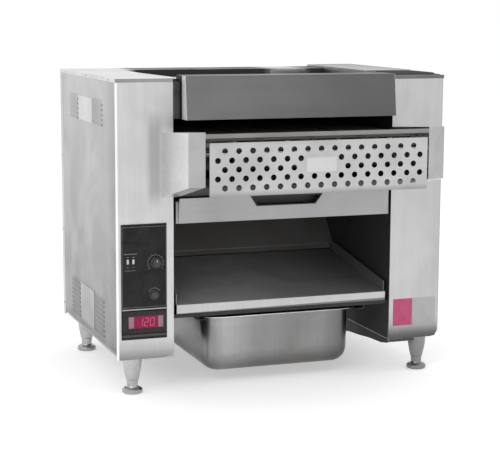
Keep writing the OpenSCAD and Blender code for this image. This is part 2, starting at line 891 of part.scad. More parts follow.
// Belt outline in y and z at a distance from the middle of its rods
module belt_loop(r) {
    translate([nose_y, shaft_z]) circle(r);
    translate([drive_y, shaft_z]) circle(r);
    translate([nose_y, shaft_z - r]) square([drive_y - nose_y, 2 * r]);
}

// Wire belt: rods across, joined by five thin strips
module wire_belt() {
    turn = 360 / wheel_teeth;
    color(pale_steel) in_body() union() {
        for (x = strip_spots) across(x - belt_strip_w / 2, x + belt_strip_w / 2) difference() {
            belt_loop(wheel_r + belt_strip_t / 2);
            belt_loop(wheel_r - belt_strip_t / 2);
        }
        for (i = [0:belt_gaps], s = [-1, 1])
            bar_x(-belt_half, belt_half, nose_y + i * belt_pitch, shaft_z + s * wheel_r, rod_d / 2);
        for (i = [1:wheel_teeth / 2 - 1]) {
            a = 90 - i * turn;
            bar_x(-belt_half, belt_half, drive_y + wheel_r * cos(a), shaft_z + wheel_r * sin(a), rod_d / 2);
            bar_x(-belt_half, belt_half, nose_y - wheel_r * cos(a), shaft_z + wheel_r * sin(a), rod_d / 2);
        }
    }
}

// Frame inside the belt loop: wear strips under the top run, cross bars out to the walls
module belt_rails() {
    color(pale_steel) in_body() union() {
        for (x = wear_spots)
            box([x - wear_w / 2, wear_y0, bar_top], [x + wear_w / 2, wear_y1, wear_top]);
        for (i = [0:2]) {
            y = bar_y0 + i * (bar_y1 - bar_y0) / 2;
            box([-half_c, y - bar_t / 2, bar_top - bar_h], [half_c, y + bar_t / 2, bar_top]);
        }
        box([-housing_in, -feed_reach / 2, bar_top - bar_h], [housing_in, -feed_reach / 2 + bar_t, bar_top]);
    }
}

// Toothed wheel, its axis along x: the rods or rollers lie just over its teeth, phase is a valley's angle
module toothed_wheel(x0, x1, r, teeth, tip_r, seat_r, bore_r, phase) {
    across(x0, x1) difference() {
        circle(tip_r);
        circle(bore_r);
        for (i = [0:teeth - 1]) rotate(phase + i * 360 / teeth) translate([r, 0]) circle(seat_r, $fn = 24);
    }
}

module belt_wheels(y) {
    color(dark_steel) in_body() translate([0, y, shaft_z]) for (x = wheel_spots)
        toothed_wheel(x - wheel_t / 2, x + wheel_t / 2, wheel_r, wheel_teeth, wheel_r - rod_d / 2 - play,
            belt_pitch * 0.32, shaft_d / 2, 90 + 180 / wheel_teeth);
}

module drive_shaft() {
    color(bright_steel) in_body()
        bar_x(-half_c - wall - bush_lip - 4, chain_x + 14, drive_y, shaft_z, shaft_d / 2);
}

module drive_wheels() { belt_wheels(drive_y); }

module idler_shaft() {
    reach = housing_in + sheet + bush_lip + 6;
    color(bright_steel) in_body() bar_x(-reach, reach, nose_y, shaft_z, shaft_d / 2);
}

module idler_wheels() { belt_wheels(nose_y); }

// Flanged bush with its flange outside the wall at x
module bush(x, t, y) {
    r = shaft_d / 2 + run_fit;
    difference() {
        union() {
            bar_x(x - bush_len + bush_lip + t, x + t, y, shaft_z, r + bush_wall);
            bar_x(x + t, x + t + bush_lip, y, shaft_z, r + bush_wall + 4);
        }
        bar_x(x - bush_len, x + t + bush_lip + cut, y, shaft_z, r);
    }
}

module shaft_bushes() {
    color(brass) in_body() for (s = [-1, 1]) side(s) {
        bush(half_c, wall, drive_y);
        bush(housing_in, sheet, nose_y);
    }
}

module sprocket(y, z, r, teeth, phase) {
    translate([0, y, z]) toothed_wheel(chain_x - sprocket_t / 2, chain_x + sprocket_t / 2, r, teeth,
        r - roller_d / 2 - play, chain_pitch * 0.48, shaft_d / 2, phase + 180 / teeth);
}

// Path of the chain: first point where it leaves the driven sprocket at its front side
function wrap_driven() = 180 + 2 * chain_tilt;
function wrap_motor() = 180 - 2 * chain_tilt;
function run_len() = chain_gap * cos(chain_tilt) / chain_pitch;
function driven_share() = wrap_driven() * driven_teeth / 360;
function motor_share() = wrap_motor() * motor_teeth / 360;
function chain_total() = driven_share() + motor_share() + 2 * run_len();
// Point on the circle of a sprocket, a measured from +Y towards +Z
function on_wheel(z, r, a) = [drive_y + r * cos(a), z + r * sin(a)];
// Point of the chain's path at u pitches from the start of the driven sprocket's wrap
function chain_point(u) =
    let (d = driven_share(), m = motor_share(), l = run_len(), a0 = -chain_tilt, a1 = 180 + chain_tilt)
    u < d ? on_wheel(shaft_z, driven_r, a0 + u * 360 / driven_teeth)
    : u < d + l ? let (t = (u - d) / l)
        (1 - t) * on_wheel(shaft_z, driven_r, a1) + t * on_wheel(motor_z, motor_r, a1)
    : u < d + l + m ? on_wheel(motor_z, motor_r, a1 + (u - d - l) * 360 / motor_teeth)
    : let (t = (u - d - l - m) / l)
        (1 - t) * on_wheel(motor_z, motor_r, a0) + t * on_wheel(shaft_z, driven_r, a0);
// Angle of the first roller on the motor's sprocket
function first_motor_roller() =
    let (step = chain_total() / chain_links, s = driven_share() + run_len(), n = ceil(s / step))
    180 + chain_tilt + (n * step - s) * 360 / motor_teeth;

module driven_sprocket() {
    color(dark_steel) in_body() sprocket(drive_y, shaft_z, driven_r, driven_teeth, -chain_tilt);
}

module motor_sprocket() {
    color(dark_steel) in_body() union() {
        sprocket(drive_y, motor_z, motor_r, motor_teeth, first_motor_roller());
        bar_x(chain_x - sprocket_t, chain_x + spindle_len, drive_y, motor_z, shaft_d / 2);
    }
}

// Outline around both sprockets, e outside the chain's path
module chain_outline(e) {
    hull() {
        translate([drive_y, shaft_z]) circle(driven_r + e, $fn = shell_fn);
        translate([drive_y, motor_z]) circle(motor_r + e, $fn = shell_fn);
    }
}

// Roller chain: two plate loops and the rollers between them
module drive_chain() {
    color(dark_steel) in_body() union() {
        for (s = [-1, 1]) {
            x = chain_x + s * (chain_inner + chain_plate) / 2;
            across(x - chain_plate / 2, x + chain_plate / 2) difference() {
                chain_outline(3.6);
                chain_outline(-3.6);
            }
        }
        for (i = [0:chain_links - 1]) {
            p = chain_point(i * chain_total() / chain_links);
            bar_x(chain_x - chain_inner / 2, chain_x + chain_inner / 2, p[0], p[1], roller_d / 2);
        }
    }
}

// Gear motor in the right tower, on a bracket plate fixed to the inner wall
module gear_motor() {
    x0 = chain_x + gearbox_gap;
    w = motor_gear_w;
    z0 = motor_z - w / 2;
    color(dark_steel) in_body() difference() {
        union() {
            box([x0, drive_y - w / 2, z0], [x0 + gearbox_len, drive_y + w / 2, motor_z + w / 2]);
            translate([x0 + motor_can_x, drive_y, z0 - motor_can_len])
                cylinder(r = motor_can_r, h = motor_can_len);
            box([half_c + wall, drive_y - w / 2, z0 - bracket_drop],
                [x0 + motor_can_x, drive_y + w / 2, z0 - bracket_drop + bracket_t]);
            box([x0, drive_y - w / 2, z0 - bracket_drop], [x0 + bracket_t, drive_y + w / 2, z0]);
        }
        bar_x(x0 - cut, chain_x + spindle_len + play, drive_y, motor_z, shaft_d / 2 + run_fit);
    }
}

// Serpentine tube heater; both ends leave through the left wall
module heater(z) {
    last = heater_runs - 1;
    union() {
        for (i = [0:last]) {
            x0 = i == 0 || i == last ? -heater_out : -heater_x;
            bar_x(x0, heater_x, heater_y + i * heater_pitch, z, heater_d / 2);
        }
        for (i = [0:2:last]) heater_end(heater_x, heater_y + (i + 0.5) * heater_pitch, z, -90);
        for (i = [1:2:last - 1]) heater_end(-heater_x, heater_y + (i + 0.5) * heater_pitch, z, 90);
    }
}

module heater_end(x, y, z, a) {
    translate([x, y, z]) rotate([0, 0, a]) rotate_extrude(angle = 180)
        translate([heater_bend, 0]) circle(heater_d / 2);
}

module upper_heater() {
    color(dark_steel) in_body() heater(upper_heater_z);
}

module lower_heater() {
    color(dark_steel) in_body() heater(lower_heater_z);
}

// Reflector plates reach from wall to wall; ribs on them hold the tubes
module upper_reflector() {
    color(burnt_steel) in_body() union() {
        box([-half_c, bar_y0 - reflector_edge, upper_reflector_z],
            [half_c, bar_y1 + reflector_edge, upper_reflector_z + sheet]);
        for (x = [-rib_x, rib_x]) box([x - 1, heater_y - rib_end, upper_heater_z + heater_d / 2],
            [x + 1, heater_last + rib_end, upper_reflector_z]);
    }
}

module lower_reflector() {
    color(burnt_steel) in_body() union() {
        box([-half_c, bar_y0 - reflector_edge, lower_reflector_z],
            [half_c, bar_y1 + reflector_edge, lower_reflector_z + sheet]);
        for (x = [-rib_x, rib_x]) box([x - 1, heater_y - rib_end, lower_reflector_z + sheet],
            [x + 1, heater_last + rib_end, lower_heater_z - heater_d / 2]);
    }
}

// Ceramic blocks that take the heater ends in the left tower
module heater_terminals() {
    x1 = -half_c - wall;
    color(ceramic) in_body() for (z = [upper_heater_z, lower_heater_z],
            y = [heater_y, heater_last])
        difference() {
            box([x1 - terminal_t, y - 11, z - 11], [x1, y + 11, z + 11]);
            bar_x(-heater_out, x1 + cut, y, z, heater_d / 2 + play);
        }
}

// Chute behind the slide: steep sheet with an upright back
module rear_chute() {
    color(burnt_steel) in_body() across(-half_c, half_c) union() {
        strip([chute_y, chute_z], [chute_back, chute_knee], sheet * 1.4);
        translate([chute_back, chute_knee]) square([sheet, chute_top - chute_knee]);
    }
}

// Slide where the food comes to rest: hem in front, side walls, gentle slope
module discharge_slide() {
    low = [slide_y, slide_z - sheet];
    high = [slide_end, slide_z + slide_rise - sheet];
    color(dark_steel) in_body() union() {
        across(-slide_half, slide_half) strip(low, high, sheet);
        box([-slide_half, slide_y, slide_z - hem_h], [slide_half, slide_y + sheet, slide_z - sheet / 2]);
        for (s = [-1, 1]) side(s) across(slide_half - sheet, slide_half)
            strip(low + [6, 6 * slide_slope], high, slide_wall_h);
    }
}

// Sloping ledges on the chamber's walls, under the slide's edges
module slide_brackets() {
    y0 = slide_y + 14;
    y1 = slide_end - 12;
    z0 = slide_z - sheet - play + (y0 - slide_y) * slide_slope;
    z1 = slide_z - sheet - play + (y1 - slide_y) * slide_slope;
    color(pale_steel) in_body() for (s = [-1, 1]) side(s) union() {
        across(slide_half - 14, half_c) strip([y0, z0 - wall], [y1, z1 - wall], wall);
        across(half_c - wall, half_c) polygon([[y0, z0], [y1, z1], [y1, z1 - 16], [y0, z0 - 12]]);
    }
}

// Tray of the drip drawer
module drip_drawer() {
    y1 = sheet + drawer_d;
    color(pale_steel) in_body() union() {
        box([-tray_half, sheet, drawer_z], [tray_half, y1, drawer_z + tray_t]);
        for (s = [-1, 1]) side(s)
            box([grip_w / 2 + 8, sheet, drawer_z], [tray_half, sheet + tray_t, drawer_z + tray_h]);
        for (s = [-1, 1]) side(s)
            box([tray_half - tray_t, sheet, drawer_z], [tray_half, y1, drawer_z + tray_h]);
        box([-tray_half, y1 - tray_t, drawer_z], [tray_half, y1, drawer_z + tray_h]);
        box([-tray_half, grip_depth, drawer_z], [tray_half, grip_depth + tray_t, drawer_z + tray_h]);
    }
}

// Grip outline in x and z, e outside its edge
module grip_outline(e) {
    top = drawer_z + drawer_h - 1;
    low = top - grip_h;
    polygon([
        [-grip_w / 2 - e, top + e], [grip_w / 2 + e, top + e],
        [grip_w / 2 - grip_taper + e, low - e], [-grip_w / 2 + grip_taper - e, low - e]
    ]);
}

// Leaning front of the drip drawer with folded ends and a cut-out for the grip
module drawer_front() {
    low = [0, drawer_z];
    high = [drawer_front_y, drawer_z + drawer_h];
    color(pale_steel) in_body() difference() {
        union() {
            across(-drawer_half, drawer_half) polygon([low, high, high + [sheet, 0], low + [sheet, 0]]);
            for (s = [-1, 1]) side(s) across(drawer_half - sheet, drawer_half)
                polygon([[sheet, drawer_z], low, high, [sheet, drawer_z + drawer_h]]);
        }
        along(-drawer_lean - cut, sheet + cut) grip_outline(0);
    }
}

// Recessed grip cup of the drip drawer, its rim parallel to the leaning front
module drawer_grip() {
    y_face = drawer_front_y - grip_out;
    z0 = drawer_z;
    z1 = drawer_z + drawer_h;
    color(black_plastic) in_body() difference() {
        intersection() {
            along(y_face, grip_depth) grip_outline(0);
            across(-grip_w, grip_w)
                polygon([[-grip_out, z0], [y_face, z1], [grip_depth, z1], [grip_depth, z0]]);
        }
        along(y_face - cut, grip_depth - grip_wall) grip_outline(-grip_wall);
    }
}

// Ledges that carry the drawer
module drawer_runners() {
    color(pale_steel) in_body() for (s = [-1, 1]) side(s) union() {
        z = drawer_z - play;
        box([tray_half - runner_w, runner_y, z - wall], [half_c, drawer_d - runner_y, z]);
        box([half_c - wall, runner_y, z - runner_w], [half_c, drawer_d - runner_y, z + runner_w]);
    }
}

// Rounded box for the pan: half widths at the rim, corner and edge radii, depth
module tub(hx, hy, r, edge, top, bottom, taper) {
    hull() {
        for (sx = [-1, 1], sy = [-1, 1]) translate([sx * (hx - r), sy * (hy - r), 0]) {
            translate([0, 0, top - 1]) cylinder(r = r, h = 1, $fn = shell_fn);
            translate([-sx * taper, -sy * taper, bottom]) rotate_extrude($fn = shell_fn) {
                square([r - edge, 1]);
                translate([r - edge, edge]) intersection() {
                    circle(edge, $fn = shell_fn);
                    translate([0, -edge]) square([edge, edge]);
                }
            }
        }
    }
}

// Deep-drawn grease pan with a flat rim
module grease_pan() {
    t = 1.2;
    hx = pan_w / 2 - rim_w;
    hy = pan_d / 2 - rim_w;
    color(steel) in_body() translate([0, pan_y + pan_d / 2, 0]) difference() {
        union() {
            tub(hx, hy, pan_corner_r, pan_edge_r, rim_top, pan_bottom, pan_taper);
            translate([0, 0, rim_z]) linear_extrude(rim_t)
                rounded(pan_w / 2, pan_d / 2, pan_corner_r + rim_w / 2);
        }
        tub(hx - t, hy - t, pan_corner_r - t, pan_edge_r - t, rim_top + cut, pan_bottom + t, pan_taper);
    }
}

// Rectangle with round corners about the origin
module rounded(hx, hy, r) {
    for (sx = [-1, 1], sy = [-1, 1]) translate([sx * (hx - r), sy * (hy - r)]) circle(r);
    square([2 * hx, 2 * (hy - r)], center = true);
    square([2 * (hx - r), 2 * hy], center = true);
}

// Rails under the deck that the pan's rim runs on
module pan_rails() {
    x0 = pan_w / 2 + rail_gap;
    y1 = pan_y + pan_d - rail_end;
    color(dark_steel) in_body() for (s = [-1, 1]) side(s) union() {
        box([x0, rail_end, rail_z - rail_t], [x0 + rail_t, y1, deck_z]);
        box([x0 - rail_ledge, rail_end, rail_z - rail_t], [x0 + rail_t, y1, rail_z]);
        box([x0, deck_y, deck_z - rail_t], [x0 + rail_flange, y1, deck_z]);
    }
}

// Black control panel with its cut-outs
module control_panel() {
    color(black_plastic) in_body() difference() {
        box([panel_x - panel_w / 2, -panel_t, panel_z], [panel_x + panel_w / 2, 0, panel_z + panel_h]);
        box([panel_x - bezel_w / 2 + tail_edge, -panel_t - cut, bezel_z + tail_edge],
            [panel_x + bezel_w / 2 - tail_edge, cut, bezel_z + bezel_h - tail_edge]);
        bar_y(-panel_t - cut, cut, button_x, button_z, button_r + run_fit);
        bar_y(-panel_t - cut, cut, knob_x, knob_z, spindle_r + run_fit);
        for (x = lamp_spots)
            box([x - lamp_w / 2, -panel_t - cut, lamp_z - lamp_h / 2],
                [x + lamp_w / 2, cut, lamp_z + lamp_h / 2]);
    }
}

// Temperature controller: bezel in front of the panel, body behind it
module temperature_controller() {
    y0 = -panel_t - bezel_out;
    color(black_plastic) in_body() difference() {
        union() {
            box([panel_x - bezel_w / 2, y0, bezel_z], [panel_x + bezel_w / 2, -panel_t, bezel_z + bezel_h]);
            box([panel_x - bezel_w / 2 + tail_edge, -panel_t, bezel_z + tail_edge],
                [panel_x + bezel_w / 2 - tail_edge, tail_depth, bezel_z + bezel_h - tail_edge]);
        }
        box([window_mid - window_w / 2, y0 - cut, bezel_z + (bezel_h - window_h) / 2],
            [window_mid + window_w / 2, y0 + lens_back, bezel_z + (bezel_h + window_h) / 2]);
    }
}

module display_lens() {
    y0 = -panel_t - bezel_out;
    z0 = bezel_z + (bezel_h - window_h) / 2;
    color(lens_red) in_body()
        box([window_mid - window_w / 2, y0 + lens_front, z0],
            [window_mid + window_w / 2, y0 + lens_back, z0 + window_h]);
}

// Start button: round plunger in the panel's hole, kept in by its flange
module start_button() {
    color(dark_steel) in_body() union() {
        bar_y(-panel_t - button_out, play + button_flange, button_x, button_z, button_r);
        bar_y(play, play + button_flange, button_x, button_z, button_r + button_flange);
    }
}

// Switch block behind the button and potentiometer behind the knob, both on a small bracket
module panel_switches() {
    y0 = play + button_flange + button_travel + play;
    y1 = y0 + switch_t;
    x0 = button_x - switch_w / 2 - wall;
    x1 = button_x + switch_w / 2 + wall;
    top = knob_z + knob_r + wall;
    color(black_plastic) in_body() union() {
        difference() {
            bar_y(pot_y, pot_y + pot_t, knob_x, knob_z, knob_r);
            bar_y(pot_y - cut, spindle_end + play, knob_x, knob_z, spindle_r + run_fit);
        }
        box([x0 + wall, y0, button_z - switch_w / 2], [x1 - wall, y1, button_z + switch_w / 2]);
        box([x0, y1, button_z - switch_w / 2], [x1, y1 + wall, top]);
        box([x0, pot_y + pot_t, knob_z - knob_r], [x1, y1, top]);
        box([x0, sheet, top], [x1, y1 + wall, top + wall]);
        box([x0, sheet, top], [x1, sheet + wall, panel_z + panel_h]);
    }
}

// Speed knob with its spindle
module speed_knob() {
    y1 = -panel_t - play;
    color(black_plastic) in_body() union() {
        bar_y(y1 - knob_h, y1, knob_x, knob_z, knob_r - 2);
        bar_y(y1 - 3, y1, knob_x, knob_z, knob_r);
        bar_y(y1 - 1, spindle_end, knob_x, knob_z, spindle_r);
    }
}

// Two oblong lamps in the control panel
module indicator_lamps() {
    color([0.86, 0.86, 0.84]) in_body() for (x = lamp_spots)
        box([x - lamp_w / 2, -panel_t - 0.8, lamp_z - lamp_h / 2], [x + lamp_w / 2, 3, lamp_z + lamp_h / 2]);
}

// Cooling fan behind the rear panel of the left tower
module fan_frame() {
    y1 = body_d - sheet;
    h = fan_size / 2;
    color(black_plastic) in_body() union() {
        difference() {
            box([fan_x - h, y1 - fan_t, fan_z - h], [fan_x + h, y1, fan_z + h]);
            bar_y(y1 - fan_t - cut, y1 + cut, fan_x, fan_z, h - 3);
        }
        bar_y(y1 - fan_t, y1 - fan_t + 3, fan_x, fan_z, h * 0.36);
        for (a = [0:90:270]) translate([fan_x, 0, fan_z]) rotate([0, a + 45, 0])
            box([h * 0.3, y1 - fan_t, -2], [h - 2, y1 - fan_t + 3, 2]);
        bar_y(y1 - fan_t, y1 - 6, fan_x, fan_z, pin_r);
    }
}

// Fan rotor: hub and eight pitched blades
module fan_rotor() {
    y1 = body_d - sheet - 2;
    y0 = y1 - fan_t + 6;
    h = fan_size / 2;
    color(dark_steel) in_body() translate([fan_x, 0, fan_z]) difference() {
        union() {
            bar_y(y0, y1, 0, 0, h * 0.38);
            for (i = [0:7]) rotate([0, i * 45, 0]) translate([h * 0.34, (y0 + y1) / 2, 0]) rotate([35, 0, 0])
                box([0, -0.75, -h * 0.17], [h * 0.56, 0.75, h * 0.17]);
        }
        bar_y(y0 - cut, y1 - 2, 0, 0, pin_r + run_fit);
    }
}

// Gland for the supply cord
module cable_gland() {
    y1 = body_d + gland_out;
    color(black_plastic) in_body() difference() {
        union() {
            bar_y(y1 - gland_len, y1, gland_x, gland_z, gland_r + gland_wall);
            bar_y(body_d, body_d + 6, gland_x, gland_z, gland_r + gland_wall + 4);
            bar_y(body_d + 6, y1 - 3, gland_x, gland_z, gland_r + gland_wall + 2);
            bar_y(body_d - sheet - 5, body_d - sheet, gland_x, gland_z, gland_r + gland_wall + 4);
        }
        bar_y(y1 - gland_len - cut, y1 + cut, gland_x, gland_z, gland_r);
    }
}

tower_floors();
left_inner_wall();
right_inner_wall();
left_cover();
right_cover();
left_roof_cap();
right_roof_cap();
rear_panel();
rear_top_cover();
centre_deck();
rear_heat_wall();
chamber_ceiling();
front_header();
hood();
flue_screen();
leg_bodies();
front_left_foot();
front_right_foot();
rear_left_foot();
rear_right_foot();
left_feeder_housing();
right_feeder_housing();
feeder_floor();
feed_guard();
guard_plate();
wire_belt();
belt_rails();
drive_shaft();
drive_wheels();
idler_shaft();
idler_wheels();
shaft_bushes();
driven_sprocket();
drive_chain();
motor_sprocket();
gear_motor();
upper_heater();
upper_reflector();
lower_heater();
lower_reflector();
heater_terminals();
rear_chute();
discharge_slide();
slide_brackets();
drip_drawer();
drawer_front();
drawer_grip();
drawer_runners();
grease_pan();
pan_rails();
control_panel();
temperature_controller();
display_lens();
start_button();
panel_switches();
speed_knob();
indicator_lamps();
fan_frame();
fan_rotor();
cable_gland();
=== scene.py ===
"""Looks of a countertop conveyor broiler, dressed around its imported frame.

Shapes are in millimetres of the cabinet's own frame: x from the middle to the right,
y from the tower fronts to the back, z up from the cabinet's lower edge.
Finishes take their places in metres of the row's frame.
"""
import math

import bmesh
import bpy
from mathutils import Matrix, Vector


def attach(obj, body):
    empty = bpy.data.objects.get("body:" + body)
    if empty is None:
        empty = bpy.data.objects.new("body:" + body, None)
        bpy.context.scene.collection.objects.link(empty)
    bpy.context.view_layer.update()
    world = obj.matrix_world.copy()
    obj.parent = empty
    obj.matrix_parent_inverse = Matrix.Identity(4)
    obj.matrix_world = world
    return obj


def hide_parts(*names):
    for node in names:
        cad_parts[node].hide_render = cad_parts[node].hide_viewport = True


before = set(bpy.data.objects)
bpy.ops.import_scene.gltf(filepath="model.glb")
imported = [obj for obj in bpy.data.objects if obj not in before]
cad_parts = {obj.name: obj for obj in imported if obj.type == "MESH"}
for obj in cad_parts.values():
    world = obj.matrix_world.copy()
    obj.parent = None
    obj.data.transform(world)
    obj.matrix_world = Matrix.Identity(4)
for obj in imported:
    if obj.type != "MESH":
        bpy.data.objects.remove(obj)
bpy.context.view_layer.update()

MM = 0.001
TOWER_FRONT = -171.75
CABINET_FLOOR = 81
TO_ROW = Matrix.Translation((0, TOWER_FRONT * MM, CABINET_FLOOR * MM)) @ Matrix.Scale(MM, 4)
FRONT, BACK, TOP = (0, -1, 0), (0, 1, 0), (0, 0, 1)


def photograph_camera():
    """Camera at the photograph's viewing angle, without shift or depth of field."""
    yaw, pitch, roll = 0.346133, 0.148655, 0.004342
    spot = (-1.16056, -3.15917, 0.84215)
    ahead = Vector((
        math.sin(yaw) * math.cos(pitch), math.cos(yaw) * math.cos(pitch), -math.sin(pitch)))
    level = Vector((math.cos(yaw), -math.sin(yaw), 0))
    lift = level.cross(ahead)
    right = math.cos(roll) * level + math.sin(roll) * lift
    up = -math.sin(roll) * level + math.cos(roll) * lift
    data = bpy.data.cameras.new("photograph_view")
    data.sensor_width = 36
    data.lens = 104.524
    data.clip_end = 50
    camera = bpy.data.objects.new("photograph_view", data)
    camera.matrix_world = (
        Matrix.Translation(spot) @ Matrix((right, up, -ahead)).transposed().to_4x4())
    bpy.context.scene.collection.objects.link(camera)
    bpy.context.scene.camera = camera


# Shader building blocks


class Nodes:
    """Short calls that place shader nodes in one tree."""

    def __init__(self, tree):
        self.tree = tree

    def node(self, kind, inputs=None, **settings):
        """One shader node; an input is a plain value or the socket that feeds it."""
        made = self.tree.nodes.new("ShaderNode" + kind)
        for name, value in settings.items():
            setattr(made, name, value)
        for key, value in (inputs or {}).items():
            if isinstance(value, bpy.types.NodeSocket):
                self.tree.links.new(value, made.inputs[key])
            else:
                made.inputs[key].default_value = value
        return made

    def calc(self, operation, a, b=0.0):
        return self.node("Math", {0: a, 1: b}, operation=operation).outputs[0]

    def times(self, value, *factors):
        for factor in factors:
            value = self.calc("MULTIPLY", value, factor)
        return value

    def plus(self, a, b):
        return self.calc("ADD", a, b)

    def minus(self, a, b):
        return self.calc("SUBTRACT", a, b)

    def most(self, a, b):
        return self.calc("MAXIMUM", a, b)

    def mix(self, share, a, b, way="MIX"):
        return self.node(
            "Mix", {0: share, 6: a, 7: b}, data_type="RGBA", blend_type=way).outputs[2]

    def layer(self, under, mask, share, colour):
        """Colour laid over another by the mask's share."""
        return self.mix(self.times(mask, share), under, colour)

    def between(self, value, low, high, to_low=0.0, to_high=1.0, way="LINEAR"):
        """Value from the range low to high, moved to the second range."""
        return self.node(
            "MapRange", {0: value, 1: low, 2: high, 3: to_low, 4: to_high},
            interpolation_type=way).outputs[0]

    def spread(self, value, low, high):
        """Value from 0 to 1, moved to a range."""
        return self.between(value, 0.0, 1.0, low, high)

    def inside(self, value, low, high, soft=0.0006):
        """Mask: 1 between two places, with soft ends."""
        return self.times(
            self.between(value, low - soft, low + soft),
            self.between(value, high + soft, high - soft))

    def dimmed(self, mask, share):
        """Factor: 1, and lower by the share where the mask lies."""
        return self.minus(1.0, self.times(mask, share))

    def pick(self, mask, off, on):
        """One value off the mask, another on it."""
        return self.plus(self.times(self.minus(1.0, mask), off), self.times(mask, on))

    def curve(self, value, points):
        """Factor that follows the listed pairs of place and value."""
        result = points[0][1]
        for (low, a), (high, b) in zip(points, points[1:]):
            result = self.plus(result, self.between(value, low, high, 0.0, b - a))
        return result

    def even_grey(self, value):
        return self.node("CombineColor", {0: value, 1: value, 2: value}).outputs[0]

    def stretched(self, place, factors):
        return self.node("VectorMath", {0: place, 1: factors}, operation="MULTIPLY").outputs[0]

    def cloud(self, place, scale, detail=2.0, rough=0.5, warp=0.0):
        """Soft noise from 0 to 1."""
        return self.node("TexNoise", {
            "Vector": place, "Scale": scale, "Detail": detail, "Roughness": rough,
            "Distortion": warp}).outputs[0]


class Effect(Nodes):
    """Shared shader group with its named sockets; every group takes a place."""

    def __init__(self, name, takes, **gives):
        super().__init__(bpy.data.node_groups.new(name, "ShaderNodeTree"))
        sockets = self.tree.interface.new_socket
        for socket, kind, value in [("Place", "Vector", None), *takes]:
            made = sockets(name=socket, in_out="INPUT", socket_type="NodeSocket" + kind)
            if value is not None:
                made.default_value = value
        for socket, kind in gives.items():
            sockets(name=socket, in_out="OUTPUT", socket_type="NodeSocket" + kind)
        self.take = self.tree.nodes.new("NodeGroupInput").outputs
        self.give = self.tree.nodes.new("NodeGroupOutput").inputs
        self.place = self.take["Place"]

    def give_out(self, **sources):
        for socket, source in sources.items():
            self.tree.links.new(source, self.give[socket])
        return self.tree


def brushed_grain():
    """Long fine grinding lines; Lines holds the density of the lines along each axis."""
    g = Effect("brushed_grain", [("Lines", "Vector", (1, 1, 1))], Height="Float", Tone="Float")
    ground = g.stretched(g.place, g.take["Lines"])
    fine = g.cloud(ground, 1.0, 3.0, 0.65)
    wide = g.cloud(g.stretched(ground, (0.12, 0.12, 0.12)), 1.0)
    return g.give_out(Height=fine, Tone=g.plus(g.times(fine, 0.6), g.times(wide, 0.4)))


def wiped_haze():
    """Broad smears that a cleaning cloth leaves, and small dull spots."""
    g = Effect("wiped_haze", [("Scale", "Float", 6.0)], Haze="Float", Spots="Float")
    swirl = g.cloud(g.place, g.take["Scale"], 3.0, 0.55, 1.2)
    spots = g.cloud(g.place, g.times(g.take["Scale"], 22.0), 2.0, 0.6)
    return g.give_out(
        Haze=g.between(swirl, 0.3, 0.7, way="SMOOTHSTEP"),
        Spots=g.between(spots, 0.64, 0.74, way="SMOOTHSTEP"))


def worn_edges():
    """Rounded edges: their normal, and a broken mask where handling has polished them."""
    g = Effect("worn_edges", [("Width", "Float", 0.001)], Edge="Float", Normal="Vector")
    rounded = g.node("Bevel", {"Radius": g.take["Width"]}, samples=6).outputs[0]
    flat = g.node("NewGeometry").outputs["Normal"]
    along = g.node(
        "VectorMath", {0: rounded, 1: flat}, operation="DOT_PRODUCT").outputs["Value"]
    edge = g.between(g.minus(1.0, along), 0.01, 0.12)
    broken = g.between(g.cloud(g.place, 90.0, 3.0, 0.6), 0.38, 0.62)
    return g.give_out(Edge=g.times(edge, broken), Normal=rounded)


def heat_colours():
    """Tempering colours from straw over brown to blue-grey where Heat goes from 0 to 1."""
    g = Effect(
        "heat_colours", [("Heat", "Float", 0.5), ("Steel", "Color", (0.5, 0.5, 0.5, 1))],
        Color="Color", Scale="Float")
    patches = g.cloud(g.place, 9.0, 4.0, 0.6, 0.8)
    heat = g.plus(g.take["Heat"], g.between(patches, 0.3, 0.7, -0.22, 0.22))
    ramp = g.node("ValToRGB", {0: heat})
    stops = ramp.color_ramp.elements
    stops[0].position, stops[0].color = 0.0, (1, 1, 1, 1)
    stops[1].position, stops[1].color = 1.0, (0.22, 0.22, 0.24, 1)
    for position, colour in (
        (0.3, (0.92, 0.82, 0.62, 1)), (0.5, (0.62, 0.45, 0.32, 1)), (0.7, (0.32, 0.27, 0.29, 1))
    ):
        stops.new(position).color = colour
    return g.give_out(
        Color=g.mix(1.0, g.take["Steel"], ramp.outputs[0], "MULTIPLY"),
        Scale=g.between(g.cloud(g.place, 160.0, 3.0, 0.7), 0.45, 0.7))


def baked_film():
    """Patches and fine drops of baked-on grease."""
    g = Effect(
        "baked_film", [("Scale", "Float", 14.0), ("Cover", "Float", 0.5)],
        Film="Float", Drops="Float")
    patches = g.cloud(g.place, g.take["Scale"], 4.0, 0.62, 0.6)
    edge = g.minus(1.0, g.take["Cover"])
    film = g.between(patches, g.minus(edge, 0.12), g.plus(edge, 0.12), way="SMOOTHSTEP")
    cells = g.node("TexVoronoi", {"Vector": g.place, "Scale": g.times(g.take["Scale"], 16.0)})
    drops = g.between(cells.outputs["Distance"], 0.16, 0.1)
    return g.give_out(Film=film, Drops=g.times(drops, film))


def fine_scratches():
    """Thin scratches in two slanting directions."""
    g = Effect("fine_scratches", [("Scale", "Float", 1.0)], Scratch="Float")
    layers = []
    for turn, factors in (((0.0, 0.0, 0.5), (9, 420, 420)), ((0.4, 0.0, -0.7), (420, 7, 420))):
        slanting = g.node(
            "VectorRotate", {"Vector": g.place, "Rotation": turn}, rotation_type="EULER_XYZ")
        lines = g.cloud(g.stretched(slanting.outputs[0], factors), g.take["Scale"])
        layers.append(g.between(lines, 0.68, 0.74))
    return g.give_out(Scratch=g.most(*layers))


